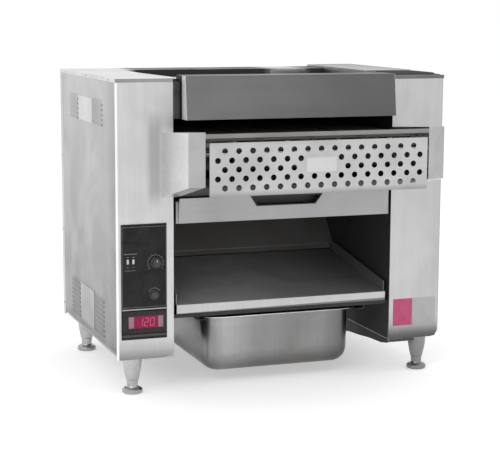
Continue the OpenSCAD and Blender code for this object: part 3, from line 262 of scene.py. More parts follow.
def moulded_skin():
    """Fine pebbled skin of moulded plastic and of cast paint, with a slow change of gloss."""
    g = Effect("moulded_skin", [("Scale", "Float", 900.0)], Height="Float", Gloss="Float")
    return g.give_out(
        Height=g.cloud(g.place, g.take["Scale"]),
        Gloss=g.cloud(g.place, g.times(g.take["Scale"], 0.03), 3.0, 0.55))


def mill_skin():
    """Mottled crystals of plain galvanised or mill-finished sheet."""
    g = Effect("mill_skin", [("Scale", "Float", 70.0)], Crystal="Float", Height="Float")
    cells = g.node("TexVoronoi", {"Vector": g.place, "Scale": g.take["Scale"]}, feature="F1")
    return g.give_out(
        Crystal=g.node("SeparateColor", {0: cells.outputs["Color"]}).outputs[0],
        Height=g.cloud(g.place, g.times(g.take["Scale"], 9.0), 2.0, 0.6))


EFFECTS = {
    made.name: made for made in (
        brushed_grain(), wiped_haze(), worn_edges(), heat_colours(),
        baked_film(), fine_scratches(), moulded_skin(), mill_skin())
}


class Finish(Nodes):
    """One finish: its material, its shader and the place of the surface point."""

    def __init__(self, name, **sockets):
        self.material = bpy.data.materials.new(name)
        self.material.use_nodes = True
        super().__init__(self.material.node_tree)
        self.shader = self.tree.nodes["Principled BSDF"]
        for socket, value in sockets.items():
            self.shader.inputs[socket.replace("_", " ")].default_value = value
        self.place = self.node("TexCoord").outputs["Object"]

    def effect(self, name, **inputs):
        return self.node(
            "Group", {"Place": self.place, **inputs}, node_tree=EFFECTS[name]).outputs

    def feed(self, **sources):
        for socket, source in sources.items():
            self.tree.links.new(source, self.shader.inputs[socket.replace("_", " ")])
        return self.material

    def axis(self, name):
        """One coordinate of the surface point, in metres of the row's frame."""
        return self.node("SeparateXYZ", {0: self.place}).outputs[name]

    def bump(self, height, depth, normal=None):
        inputs = {"Height": height, "Distance": depth, "Strength": 1.0}
        if normal is not None:
            inputs["Normal"] = normal
        return self.node("Bump", inputs).outputs[0]


def grey(tone, warm=0.0):
    """Neutral colour, slightly warm or cool."""
    return (tone * (1 + warm), tone, tone * (1 - warm), 1)


class Sheet(Finish):
    """Sheet metal with ground lines, a wiping haze and worn edges."""

    def __init__(self, name, lines, scale, width=0.0008, **sockets):
        super().__init__(name, **sockets)
        ground = self.effect("brushed_grain", Lines=lines)
        edges = self.effect("worn_edges", Width=width)
        self.wiped = self.effect("wiped_haze", Scale=scale)
        self.height, self.grain, self.haze = ground["Height"], ground["Tone"], self.wiped["Haze"]
        self.edge, self.normal = edges["Edge"], edges["Normal"]

    def grained(self, tone, clean=1.04, hazed=0.9, depth=0.14):
        """Tone with its grain and its haze."""
        return self.times(
            tone, self.spread(self.grain, 1 - depth, 1 + depth), self.spread(self.haze, clean, hazed))

    def done(self, colour, share, polish, rough, depth=0.00004, **sources):
        """Material from a colour, the share and colour of its worn edges, roughness and grain."""
        return self.feed(
            Base_Color=self.layer(colour, self.edge, share, polish), Roughness=rough,
            Normal=self.bump(self.height, depth, self.normal), **sources)


# Finishes in even layers

SKIN_TONE = {"moulded_skin": "Gloss", "mill_skin": "Crystal", "brushed_grain": "Tone"}
FILM_MASK = {"wiped_haze": "Haze", "baked_film": "Film"}


def layered(name, skin, tones, rough, depth, film=None, edge=None, rough_by="film", **sockets):
    """Mottled body, a film over it, and worn edges.

    skin lists an effect and its inputs, tones the body's two colours, rough the range of roughness
    over the film or the skin, film an effect with its inputs, share and colour, and edge a width
    with its share and colour.
    """
    f = Finish(name, **sockets)
    kind, inputs = skin
    ground = f.effect(kind, **inputs)
    mottle = ground[SKIN_TONE[kind]]
    colour, mask, normal = f.mix(mottle, *tones), None, None
    if film:
        kind, inputs, share, stain = film
        mask = f.effect(kind, **inputs)[FILM_MASK[kind]]
        colour = f.layer(colour, mask, share, stain)
    if edge:
        width, share, polish = edge
        edges = f.effect("worn_edges", Width=width)
        normal = edges["Normal"]
        if share:
            colour = f.layer(colour, edges["Edge"], share, polish)
    by_film = rough_by == "film"
    return f.feed(
        Base_Color=colour,
        Roughness=f.spread(mask, *rough) if by_film else f.between(mottle, 0.3, 0.7, *rough),
        Normal=f.bump(ground["Height"], depth, normal))


def turned_steel(name, tone, rough=0.26, warm=0.0):
    """Turned or drawn bar: fine rings, a little handling haze."""
    return layered(
        name, ("brushed_grain", {"Lines": (700, 700, 700)}),
        (grey(tone * 0.88, warm), grey(tone * 1.1, warm)), (rough, rough + 0.12), 0.00002,
        ("wiped_haze", {"Scale": 30.0}, 0.2, grey(tone * 0.6, warm)), (0.0006, 0.5, grey(0.92)),
        Metallic=1.0)


def black_plastic(name, tone, rough, scale=900.0, depth=0.00005, polish=0.3, **sockets):
    """Moulded black plastic: pebbled skin, polished edges, thin dust."""
    return layered(
        name, ("moulded_skin", {"Scale": scale}), (grey(tone * 0.8), grey(tone * 1.25)),
        (rough, rough + 0.12), depth, ("wiped_haze", {"Scale": 24.0}, 0.10, grey(0.16, 0.03)),
        (0.0009, polish, grey(0.12)), **sockets)


def brushed_steel(name, tone, lines, rough=0.36, haze=0.5):
    """Ground stainless sheet: grain along one axis, wiping haze, polished edges."""
    f = Sheet(name, lines, 5.0, Metallic=1.0)
    body = f.mix(f.grain, grey(tone * 0.86), grey(tone * 1.12))
    hazed = f.layer(body, f.haze, haze * 0.2, grey(tone * 0.7))
    spotted = f.layer(hazed, f.wiped["Spots"], 0.10, grey(tone * 0.55))
    roughness = f.plus(f.spread(f.haze, rough - 0.04, rough + 0.07), f.times(f.grain, 0.06))
    return f.done(spotted, 0.5, grey(0.9), roughness)


def heated_steel(name, tone, heat, film, metallic, rough=0.5):
    """Sheet that years of heat and grease have darkened; a caller may darken it further as painted
    shade.
    """
    f = Finish(name, Metallic=metallic)
    grain = f.effect("brushed_grain", Lines=(420, 12, 420))
    tint = f.effect("heat_colours", Heat=heat, Steel=grey(tone))
    baked = f.effect("baked_film", Scale=11.0, Cover=film)
    edges = f.effect("worn_edges", Width=0.0008)
    sooty = f.layer(tint["Color"], baked["Film"], 0.65, (0.035, 0.026, 0.02, 1))
    return f.feed(
        Base_Color=f.layer(sooty, edges["Edge"], 0.3, grey(0.5)),
        Roughness=f.plus(
            f.spread(grain["Tone"], rough - 0.08, rough + 0.08), f.times(baked["Film"], 0.12)),
        Normal=f.bump(
            f.plus(grain["Height"], f.times(baked["Drops"], 0.8)), 0.00006, edges["Normal"]))


def belt_wire():
    """Spring wire of the belt: straw to brown from the heat, dark seasoning; its very dark base is
    also painted shade for the gap under the top rail.
    """
    f = Finish("seasoned_and_shaded_wire", Metallic=0.3)
    tint = f.effect("heat_colours", Heat=0.22, Steel=grey(0.05))
    baked = f.effect("baked_film", Scale=30.0, Cover=0.6)
    drawn = f.effect("brushed_grain", Lines=(30, 500, 500))
    seasoned = f.layer(tint["Color"], baked["Film"], 0.6, (0.05, 0.035, 0.025, 1))
    return f.feed(
        Base_Color=f.layer(seasoned, drawn["Tone"], 0.1, grey(0.14)),
        Roughness=f.spread(baked["Film"], 0.34, 0.52),
        Normal=f.bump(baked["Drops"], 0.0001))


def heater_sheath():
    """Matt oxidised sheath of the tube heaters, mottled green-grey."""
    f = Finish("oxidised_sheath", Metallic=0.6)
    skin = f.effect("moulded_skin", Scale=500.0)
    tint = f.effect("heat_colours", Heat=0.75, Steel=(0.32, 0.34, 0.3, 1))
    return f.feed(
        Base_Color=f.layer(tint["Color"], tint["Scale"], 0.4, (0.16, 0.17, 0.14, 1)),
        Roughness=f.between(skin["Gloss"], 0.3, 0.7, 0.5, 0.7),
        Normal=f.bump(skin["Height"], 0.00012))


def label_paint(name, colour, faded, share=0.5, haze=30.0, pebbles=1200.0, rough=(0.45, 0.6)):
    """Printed field or print, faded in patches."""
    f = Finish(name)
    worn = f.effect("wiped_haze", Scale=haze)
    skin = f.effect("moulded_skin", Scale=pebbles)
    return f.feed(
        Base_Color=f.layer(colour, worn["Haze"], share, faded),
        Roughness=f.between(skin["Gloss"], 0.3, 0.7, *rough))


def display_lens():
    """Red window of the display: deep in the middle, washed out towards its ends."""
    f = Finish(
        "lit_red_window", Coat_Weight=0.1, Coat_Roughness=0.08, Emission_Strength=0.12,
        Specular_IOR_Level=0.2)
    cells = f.effect("mill_skin", Scale=260.0)["Crystal"]
    cloudy = f.effect("wiped_haze", Scale=34.0)["Haze"]
    x = f.axis("X")
    ends = f.most(f.between(x, -0.351, -0.356), f.between(x, -0.299, -0.295))
    deep = f.mix(cloudy, (0.36, 0.004, 0.05, 1), (0.52, 0.012, 0.11, 1))
    return f.feed(
        Base_Color=f.mix(cells, (0.2, 0.005, 0.04, 1), (0.28, 0.01, 0.07, 1)),
        Emission_Color=f.layer(deep, ends, 0.8, (0.62, 0.34, 0.44, 1)),
        Roughness=f.spread(cloudy, 0.12, 0.22))


def lit_figures():
    """Lit bars of the display's plain numbers."""
    f = Finish("lit_figures", Emission_Strength=0.25)
    cells = f.effect("mill_skin", Scale=400.0)["Crystal"]
    return f.feed(
        Base_Color=f.mix(cells, (0.4, 0.07, 0.15, 1), (0.48, 0.1, 0.2, 1)),
        Emission_Color=f.mix(cells, (0.6, 0.07, 0.16, 1), (0.7, 0.1, 0.2, 1)),
        Roughness=f.spread(cells, 0.3, 0.4))


# Finishes that change with their place


def placed_steel(name, lines, tone_at, rough=0.34):
    """Ground sheet whose tone, mostly painted light and shade, changes with its place; a place painted
    dark is dull, not metallic.
    """
    f = Sheet(name, lines, 6.0, Specular_IOR_Level=0.2)
    clean = tone_at(f)
    tone = f.grained(clean)
    return f.done(
        f.even_grey(tone), 0.3, f.even_grey(f.times(tone, 1.5)),
        f.spread(f.haze, rough - 0.04, rough + 0.08), Metallic=f.between(clean, 0.04, 0.15))


def cap_tone(f):
    """Roof caps, with painted light: left top pale, right top darker, and a painted shade line along
    both front edges.
    """
    front_edge_shade = f.between(f.axis("Y"), -0.1700, -0.1712)
    return f.times(f.between(f.axis("X"), -0.2, 0.2, 0.72, 0.4), f.dimmed(front_edge_shade, 0.55))


def housing_tone(f):
    """Feeder housings, with painted light: outer sides painted pale as lit faces, fronts painted
    duller as shaded faces.
    """
    return f.between(f.axis("Y"), -0.3695, -0.3712, 0.97, 0.45)


def guard_tone(f):
    """Guard: painted shade along its lower edge; hooks and edges behind its face painted near-black as
    shade.
    """
    face = f.between(f.axis("Y"), -0.3772, -0.3780, 0.04, 1.0)
    return f.times(face, f.between(f.axis("Z"), 0.459, 0.470, 0.66, 1.0), 0.52)


def rail_tone(f):
    """Bright top rail; the floor and the bar behind it painted near-black as shade."""
    rail = f.times(
        f.between(f.axis("Z"), 0.5765, 0.5775), f.between(f.axis("Y"), -0.3688, -0.3696))
    return f.plus(0.03, f.times(rail, 0.24))


def inner_tone(f):
    """Inner sheets: painted near-black as the shade inside the cabinet, with painted light at the
    towers' lower front corners.
    """
    corner = f.times(
        f.between(f.axis("Y"), -0.1660, -0.1670), f.between(f.axis("Z"), 0.125, 0.115))
    return f.plus(0.05, f.times(corner, 0.4))


def back_strip_tone(f):
    """Cover plate behind the flue: painted light at its left end, painted near-black as shade beyond
    it, a painted sheen behind the flue.
    """
    x = f.axis("X")
    lit_left_end = f.curve(x, ((-0.26, 0.7), (-0.243, 0.5), (-0.228, 0.04)))
    # Painted sheen behind the flue, painted light at the left end
    return f.plus(f.times(f.inside(x, 0.118, 0.206, 0.02), 0.55), lit_left_end)


def cover_steel():
    """Tower covers, with painted light and shade: paler pads, darker louvre fields, sides and fronts
    darker low down, left front lighter, shadows by the feeder and the right foot, a bright left bend;
    baked spatter low down.
    """
    f = Sheet("upright_brushed_steel", UPRIGHT, 5.0, Metallic=1.0)
    spatter = f.effect("baked_film", Scale=9.0, Cover=0.42)
    x, y, z = f.axis("X"), f.axis("Y"), f.axis("Z")
    out = f.calc("ABSOLUTE", x)

    # Outer side: painted shade towards the foot and near the front bend, a painted sheen on the pads,
    # painted shade in the louvre fields
    fall = f.curve(z, ((0.083, 0.3), (0.115, 0.5), (0.2, 0.56), (0.45, 0.8), (0.68, 0.96)))
    pad = f.times(f.inside(y, 0.0325, 0.1640), f.between(out, 0.3882, 0.3885))
    louvre_rows = f.most(f.inside(z, 0.107, 0.199), f.inside(z, 0.581, 0.640))
    louvre_columns = f.most(f.inside(y, -0.0595, 0.0260), f.inside(y, 0.1705, 0.2560))
    louvres = f.times(louvre_rows, louvre_columns)
    front_band_shade = f.between(y, -0.165, -0.10, 0.8, 1.0)
    side_tone = f.times(
        fall, f.plus(1.0, f.times(pad, 0.32)), f.dimmed(louvres, 0.18), front_band_shade, 0.57)

    # Front: painted lighter at the left where the light falls, painted shade towards the foot, by the
    # right foot and beside the feeder housing
    right_foot_shade = f.times(f.between(x, 0.0, 0.1), f.between(z, 0.116, 0.09))
    feeder_shadow = f.times(
        f.inside(x, -0.3150, -0.2875, 0.006), f.inside(z, 0.43, 0.60, 0.02))
    front_tone = f.times(
        f.between(x, -0.38, 0.38, 0.63, 0.53),
        f.curve(z, ((0.081, 0.4), (0.106, 0.78), (0.13, 1.0))),
        f.dimmed(right_foot_shade, 0.5), f.dimmed(feeder_shadow, 0.3))

    # Front bend: a painted highlight at the left, a painted dark line at the right
    bend = f.times(f.between(out, 0.3822, 0.3850), f.between(y, -0.1660, -0.1680))
    bend_highlight_tone = f.between(x, -0.3, 0.3, 0.95, 0.4)
    tone = f.pick(f.between(out, 0.3864, 0.3870), front_tone, side_tone)
    tone = f.grained(f.pick(bend, tone, bend_highlight_tone), 1.03, 0.93)
    low = f.curve(z, ((0.08, 0.4), (0.25, 0.18), (0.45, 0.04)))
    spotted = f.layer(f.even_grey(tone), spatter["Drops"], low, grey(0.16, 0.05))
    roughness = f.plus(f.spread(f.haze, 0.31, 0.42), f.times(f.grain, 0.06))
    return f.done(spotted, 0.4, grey(0.9), roughness)


def hood_steel():
    """Canopy sheet: the slanting front painted dark as a reflection, lighter at the left; its ends
    painted bright in front and painted shadow behind the tower fronts; its folded top edge a painted
    highlight.
    """
    f = Sheet("hood_steel_painted_reflection", (12, 420, 520), 4.0, 0.0009, Metallic=0.95)
    x, z = f.axis("X"), f.axis("Z")
    side = f.calc("ABSOLUTE", x)
    # Painted reflection: the slanting front dark, lighter at the left; painted highlight on the top
    # fold; painted shadow on the ends behind the tower fronts, painted light on their front parts
    dark_reflection = f.times(
        f.between(x, -0.2445, 0.2445, 0.225, 0.145), f.between(z, 0.604, 0.69, 1.05, 0.95),
        f.spread(f.grain, 0.86, 1.14))
    top_fold_highlight = f.between(z, 0.6952, 0.6958, 1.0, 0.8)
    end_shadow = f.between(side, 0.2438, 0.2443, 1.0, 0.12)
    lit_end_plate = f.times(
        f.between(side, 0.2438, 0.2443), f.between(f.axis("Y"), -0.186, -0.190))
    bright = f.mix(f.grain, grey(0.82), grey(0.94))
    folded = f.mix(lit_end_plate, f.even_grey(f.times(dark_reflection, top_fold_highlight, end_shadow)), bright)
    hazed = f.layer(folded, f.haze, 0.14, grey(0.12, 0.05))
    return f.done(hazed, 0.4, grey(0.7), f.spread(f.haze, 0.42, 0.56), 0.00005)


def pan_steel():
    """Deep-drawn bright pan: faint drawing lines down the walls, baked film low inside, painted shade
    low down and at the right, painted highlights at the lower left and along the rim.
    """
    f = Finish("deep_drawn_steel", Metallic=1.0)
    drawn = f.effect("brushed_grain", Lines=(160, 160, 6))
    haze = f.effect("wiped_haze", Scale=7.0)["Haze"]
    film = f.effect("baked_film", Scale=16.0, Cover=0.4)["Film"]
    scratch = f.effect("fine_scratches", Scale=1.0)["Scratch"]
    x, z = f.axis("X"), f.axis("Z")
    # Painted shade low on the walls and at the right, painted highlights at the lower left and along
    # the rim
    upright = f.curve(z, (
        (0.028, 0.42), (0.045, 0.62), (0.075, 1.0), (0.13, 0.92), (0.152, 1.0)))
    across = f.curve(x, (
        (-0.1772, 0.6), (-0.172, 0.8), (-0.135, 1.45), (-0.105, 1.35), (-0.06, 0.98), (0.1, 0.9),
        (0.172, 0.4)))
    rim = f.between(z, 0.1565, 0.1575, 1.0, 3.2)
    tone = f.times(upright, across, 0.29, rim, f.spread(drawn["Tone"], 0.84, 1.16))
    hazed = f.layer(f.even_grey(tone), haze, 0.16, grey(0.13, 0.02))
    filmed = f.layer(hazed, film, f.between(z, 0.06, 0.14, 0.3, 0.0), (0.2, 0.14, 0.08, 1))
    return f.feed(
        Base_Color=f.layer(filmed, scratch, 0.25, grey(0.4)),
        Roughness=f.plus(f.spread(haze, 0.26, 0.38), f.times(film, 0.08)),
        Normal=f.bump(f.plus(drawn["Height"], f.times(scratch, -0.4)), 0.00005))


def slide_steel():
    """Smooth dark slide with lengthwise rubbing marks, painted darker to the right as shade, and a
    pale hem with worn edges and a painted shade along its lower part.
    """
    f = Sheet("rubbed_slide_steel", (300, 9, 60), 6.0, 0.001, Metallic=0.25)
    scratch = f.effect("fine_scratches", Scale=1.0)["Scratch"]
    x = f.axis("X")
    # Painted shade: darker to the right
    worn = f.times(f.between(x, -0.05, 0.25, 1.0, 0.4), f.between(f.grain, 0.2, 0.8, 0.36, 0.52))
    smeared = f.layer(f.even_grey(worn), f.haze, 0.3, grey(0.14, 0.03))
    marked = f.layer(smeared, scratch, 0.3, grey(0.45))
    # Pale hem, with painted shade along its lower part below the lip line
    lip = f.between(x, -0.25, 0.25, 0.1745, 0.1790)
    under = f.between(f.minus(f.axis("Z"), lip), 0.0, 0.0015, 0.3, 1.0)
    bright = f.even_grey(f.times(under, f.spread(f.grain, 0.55, 0.78)))
    hem = f.between(f.axis("Y"), -0.1630, -0.1648)
    return f.feed(
        Base_Color=f.mix(f.most(hem, f.times(f.edge, 0.4)), marked, bright),
        Roughness=f.spread(f.haze, 0.28, 0.42),
        Normal=f.bump(f.height, 0.00004, f.normal))


def cast_leg():
    """Plated leg casting: faint skin, wiped grime, darker towards the foot; legs at the right painted
    darker as shade.
    """
    f = Finish("plated_leg", Metallic=1.0)
    casting = f.effect("moulded_skin", Scale=420.0)
    haze = f.effect("wiped_haze", Scale=26.0)["Haze"]
    edges = f.effect("worn_edges", Width=0.0012)
    # Painted shade: legs at the right darker
    shade = f.between(f.axis("X"), -0.2, 0.3, 1.0, 0.55)
    body = f.even_grey(f.times(shade, f.between(casting["Gloss"], 0.2, 0.8, 0.42, 0.56)))
    # Darker towards the foot
    low = f.between(f.axis("Z"), 0.0, 0.03, 0.35, 0.0)
    hazed_darker_low = f.mix(f.plus(f.times(haze, 0.22), low), body, grey(0.2, 0.04))
    return f.feed(
        Base_Color=f.layer(hazed_darker_low, edges["Edge"], 0.6, grey(0.86)),
        Roughness=f.spread(haze, 0.24, 0.38),
        Normal=f.bump(casting["Height"], 0.00005, edges["Normal"]))


ALONG_X, ALONG_Y, UPRIGHT = (10, 520, 520), (520, 10, 520), (520, 520, 10)

FINISHES = {
    "cover": cover_steel(),
    "back": brushed_steel("pale_back_steel", 0.62, UPRIGHT),
    "cap": placed_steel("lengthwise_brushed_steel", ALONG_Y, cap_tone),
    "rail": placed_steel("crosswise_brushed_steel", ALONG_X, rail_tone, 0.4),
    "strip": placed_steel("top_strip_painted_shade", ALONG_X, back_strip_tone, 0.4),
    "plate": brushed_steel("polished_plate", 0.62, (10, 620, 620), rough=0.28, haze=0.3),
    "feeder": placed_steel("bright_feeder_steel", (520, 12, 520), housing_tone, 0.3),
    "guard": placed_steel("perforated_guard_steel", (10, 560, 560), guard_tone, 0.36),
    "drawer": brushed_steel("satin_drawer_steel", 0.38, (10, 480, 480), rough=0.4),
    "lid": brushed_steel("pale_lid_steel", 0.42, ALONG_Y, rough=0.4),
    # The dull seam finish also dresses the dark sheet painted in as shadow under the right tower
    "seam": brushed_steel("dull_seam_and_shade_steel", 0.09, ALONG_Y, rough=0.5),
    "rose": label_paint("rose_label_field", (0.56, 0.07, 0.18, 1), (0.6, 0.13, 0.25, 1)),
    "pale": label_paint("pale_label_field", (0.52, 0.52, 0.52, 1), (0.46, 0.46, 0.46, 1)),
    "key": label_paint("milky_key", (0.34, 0.22, 0.27, 1), (0.3, 0.2, 0.25, 1)),
    "ink": label_paint("pale_print", grey(0.3), grey(0.14), 0.7, 60.0, 1500.0, (0.5, 0.66)),
    "chassis": layered(
        "mill_chassis_steel", ("mill_skin", {"Scale": 60.0}), (grey(0.432), grey(0.5184)),
        (0.46, 0.6), 0.00003, ("wiped_haze", {"Scale": 8.0}, 0.25, grey(0.2976)),
        (0.0007, 0.4, grey(0.8)), Metallic=1.0),
    "inner": placed_steel("dull_inner_steel", (40, 40, 40), inner_tone, 0.5),
    "chamber": heated_steel("burnt_chamber_steel", 0.16, 0.2, 0.4, 0.3),
    # The chute and the screen, which also dresses the front header under the hood, are painted darker
    # as shade over their heat tint and grease
    "chute": heated_steel("rubbed_chute_steel", 0.2, 0.12, 0.2, 0.2, 0.4),
    "screen": heated_steel("smoked_and_shaded_screen_steel", 0.09, 0.1, 0.4, 0.5, 0.55),
    "hood": hood_steel(),
    "slide": slide_steel(),
    "pan": pan_steel(),
    "leg": cast_leg(),
    "wire": belt_wire(),
    "shaft": turned_steel("drawn_shaft_steel", 0.32),
    "screw": turned_steel("zinc_plated_screw", 0.58, 0.3, 0.02),
    "button": turned_steel("dull_button_metal", 0.08, 0.4),
    "wheel": layered(
        "oiled_wheel_steel", ("moulded_skin", {"Scale": 600.0}), (grey(0.26), grey(0.4)),
        (0.38, 0.26), 0.00005,
        ("baked_film", {"Scale": 40.0, "Cover": 0.55}, 0.6, (0.07, 0.055, 0.04, 1)),
        (0.0007, 0.7, grey(0.75)), Metallic=1.0),
    "brass": layered(
        "sintered_brass", ("moulded_skin", {"Scale": 1400.0}),
        ((0.5, 0.36, 0.14, 1), (0.66, 0.5, 0.24, 1)), (0.32, 0.5), 0.00006,
        ("wiped_haze", {"Scale": 60.0}, 0.4, (0.2, 0.14, 0.07, 1)), Metallic=1.0),
    "paint": layered(
        "hammered_motor_paint", ("moulded_skin", {"Scale": 320.0}), (grey(0.045), grey(0.075)),
        (0.4, 0.62), 0.0002, ("wiped_haze", {"Scale": 18.0}, 0.3, grey(0.2, 0.06)),
        (0.0012, 0.5, grey(0.35)), Coat_Weight=0.25, Coat_Roughness=0.25),
    "sheath": heater_sheath(),
    "ceramic": layered(
        "fired_ceramic", ("moulded_skin", {"Scale": 700.0}),
        ((0.68, 0.64, 0.55, 1), (0.8, 0.77, 0.69, 1)), (0.38, 0.6), 0.00008,
        ("baked_film", {"Scale": 60.0, "Cover": 0.3}, 0.35, (0.3, 0.22, 0.14, 1)),
        (0.001, 0, None), "skin"),
    "grip": black_plastic("moulded_grip", 0.035, 0.42),
    "panel": black_plastic(
        "panel_overlay", 0.01, 0.5, scale=1600.0, depth=0.00002, Specular_IOR_Level=0.2),
    "bezel": black_plastic("glossy_bezel", 0.012, 0.3, polish=0.5, Specular_IOR_Level=0.3),
    "rubber": black_plastic("dull_nylon", 0.03, 0.55),
    "lens": display_lens(),
    "lamp": layered(
        "milky_lamp", ("moulded_skin", {"Scale": 500.0}),
        ((0.5, 0.5, 0.48, 1), (0.72, 0.71, 0.68, 1)), (0.2, 0.34), 0.00003, None,
        (0.0008, 0, None), "skin", Coat_Weight=0.4, Coat_Roughness=0.12),
    "figures": lit_figures(),
}

# Finish of every frame node
WORN_BY = {
    "cover": "left_cover right_cover",
    "back": "rear_panel",
    "strip": "rear_top_cover",
    "cap": "left_roof_cap right_roof_cap",
    "chassis": "tower_floors belt_rails",
    "inner": "left_inner_wall right_inner_wall centre_deck slide_brackets drawer_runners pan_rails",
    "chamber": "rear_heat_wall chamber_ceiling upper_reflector lower_reflector",
    "chute": "rear_chute",
    "screen": "flue_screen front_header",
    "hood": "hood",
    "leg": "leg_bodies front_left_foot front_right_foot rear_left_foot rear_right_foot",
    "feeder": "left_feeder_housing right_feeder_housing",
    "rail": "feeder_floor",
    "guard": "feed_guard",
    "plate": "guard_plate",
    "wire": "wire_belt",
    "shaft": "drive_shaft idler_shaft",
    "wheel": "drive_wheels idler_wheels driven_sprocket drive_chain motor_sprocket",
    "brass": "shaft_bushes",
    "paint": "gear_motor",
    "sheath": "upper_heater lower_heater",
    "ceramic": "heater_terminals",
    "slide": "discharge_slide",
    "drawer": "drip_drawer drawer_front",
    "grip": "drawer_grip",
    "pan": "grease_pan",
    "panel": "control_panel",
    "bezel": "temperature_controller",
    "lens": "display_lens",
    "button": "start_button",
    "rubber": "panel_switches speed_knob fan_frame fan_rotor cable_gland",
    "lamp": "indicator_lamps",
}


def dress_frame():
    for finish, names in WORN_BY.items():
        for name in names.split():
            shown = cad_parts[name]
            shown.data.materials.clear()
            shown.data.materials.append(FINISHES[finish])


# Shapes


def facing(point, axis, spin=0.0):
    """Place whose own z points along axis."""
    turn = Vector(TOP).rotation_difference(Vector(axis)).to_matrix().to_4x4()
    return Matrix.Translation(point) @ turn @ Matrix.Rotation(spin, 4, "Z")


def skin(bm, rings, ends=(True, True), wrap=True):
    """Quads between rings of equal length; closed ends get one face each."""
    rows = [[bm.verts.new(p) for p in ring] for ring in rings]
    count = len(rows[0])
    for a, b in zip(rows, rows[1:]):
        for i in range(count if wrap else count - 1):
            j = (i + 1) % count
            bm.faces.new((a[i], a[j], b[j], b[i]))
    if ends[0]:
        bm.faces.new(rows[0][::-1])
    if ends[1]:
        bm.faces.new(rows[-1])


def turned(bm, place, profile, count=32, ends=(True, True)):
    """Turned shape: profile lists radius and height; a radius may be a function of the angle."""
    rings = []
    for radius, height in profile:
        ring = []
        for i in range(count):
            a = 2 * math.pi * i / count
            r = radius(a) if callable(radius) else radius
            ring.append(place @ Vector((r * math.cos(a), r * math.sin(a), height)))
        rings.append(ring)
    skin(bm, rings, ends)


def lobes(r, depth, count):
    return lambda a: r + depth * math.cos(count * a)


def screw(bm, point, axis, r=3.6, spin=0.3):
    """Low round head with a six-lobed recess."""
    turned(bm, facing(point, axis, spin), [
        (r, 0), (r, r * 0.16), (r * 0.9, r * 0.42), (r * 0.66, r * 0.56),
        (lobes(r * 0.4, r * 0.07, 6), r * 0.56), (lobes(r * 0.36, r * 0.07, 6), r * 0.12)
    ], 36)


def rivet(bm, point, axis, r=2.2):
    turned(bm, facing(point, axis), [
        (r, 0), (r * 0.97, r * 0.16), (r * 0.8, r * 0.34), (r * 0.45, r * 0.46), (r * 0.12, r * 0.5)
    ], 20)


def rounded_ring(x0, z0, x1, z1, r, corner=6, straight=1):
    """Points of a rectangle with round corners, as pairs."""
    points = []
    middles = [(x1 - r, z1 - r), (x0 + r, z1 - r), (x0 + r, z0 + r), (x1 - r, z0 + r)]
    for k, (cx, cz) in enumerate(middles):
        for i in range(corner + 1):
            a = (k + i / corner) * math.pi / 2
            points.append((cx + r * math.cos(a), cz + r * math.sin(a)))
        px, pz = points[-1]
        nx, nz = middles[(k + 1) % 4]
        a = (k + 1) % 4 * math.pi / 2
        dx, dz = nx + r * math.cos(a) - px, nz + r * math.sin(a) - pz
        points += [(px + dx * i / straight, pz + dz * i / straight) for i in range(1, straight)]
    return points


def upright_ring(box, grow, y, r, corner=6):
    """Rounded ring at y around a box of x and z; grow is how far it lies outside."""
    x0, z0, x1, z1 = box
    return [(x, y, z) for x, z in
            rounded_ring(x0 - grow, z0 - grow, x1 + grow, z1 + grow, r, corner)]


def moulded_plate(bm, box, r, steps, corner=6):
    """Upright plate with round corners: steps list how far each ring lies inside, and its y."""
    skin(bm, [upright_ring(box, -e, y, max(r - e, 0.2), corner) for e, y in steps])


def laid_plate(bm, box, r, steps):
    """Level plate with round corners: steps list how far each ring lies inside, and its z."""
    x0, y0, x1, y1 = box
    skin(bm, [[(x, y, z) for x, y in rounded_ring(x0 + e, y0 + e, x1 - e, y1 - e, r, 4)]
              for e, z in steps])


def wire(bm, path, r, sides=8, closed=False):
    """Round wire along a path."""
    path = [Vector(p) for p in path]
    count = len(path)
    rings, side = [], None
    for i, p in enumerate(path):
        before = path[(i - 1) % count] if closed or i > 0 else p
        after = path[(i + 1) % count] if closed or i < count - 1 else p
        along = (after - before).normalized()
        if side is None:
            side = along.orthogonal().normalized()
        side = (side - side.dot(along) * along).normalized()
        up = along.cross(side)
        rings.append([
            p + r * (math.cos(a) * side + math.sin(a) * up)
            for a in (2 * math.pi * k / sides for k in range(sides))])
    if closed:
        rings.append(rings[0])
    skin(bm, rings, (not closed, not closed))


def piece(name, body, finish, shape, smooth=35, stands_for=()):
    """Finished piece: shape fills a mesh in cabinet millimetres."""
    bm = bmesh.new()
    shape(bm)
    bmesh.ops.remove_doubles(bm, verts=bm.verts, dist=0.0005)
    bmesh.ops.recalc_face_normals(bm, faces=bm.faces)
    bm.transform(TO_ROW)
    mesh = bpy.data.meshes.new(name)
    bm.to_mesh(mesh)
    bm.free()
    mesh.polygons.foreach_set("use_smooth", [True] * len(mesh.polygons))
    mesh.set_sharp_from_angle(angle=math.radians(smooth))
    mesh.materials.append(FINISHES[finish])
    obj = bpy.data.objects.new(name, mesh)
    bpy.context.scene.collection.objects.link(obj)
    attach(obj, body)
    if stands_for:
        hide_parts(*stands_for)
    return obj


# Grease pan

PAN_MIDDLE = 192


def pan_ring(inset, z, rim=0.0):
    """Ring of the pan's wall: inset from the wall line, rim outside it."""
    hx, hy = 178.5 - inset + rim, 167 - inset + rim
    r = max(43 - inset + rim * 0.5, 5)
    return [(x, y + PAN_MIDDLE, z) for x, y in rounded_ring(-hx, -hy, hx, hy, r, 8, 4)]


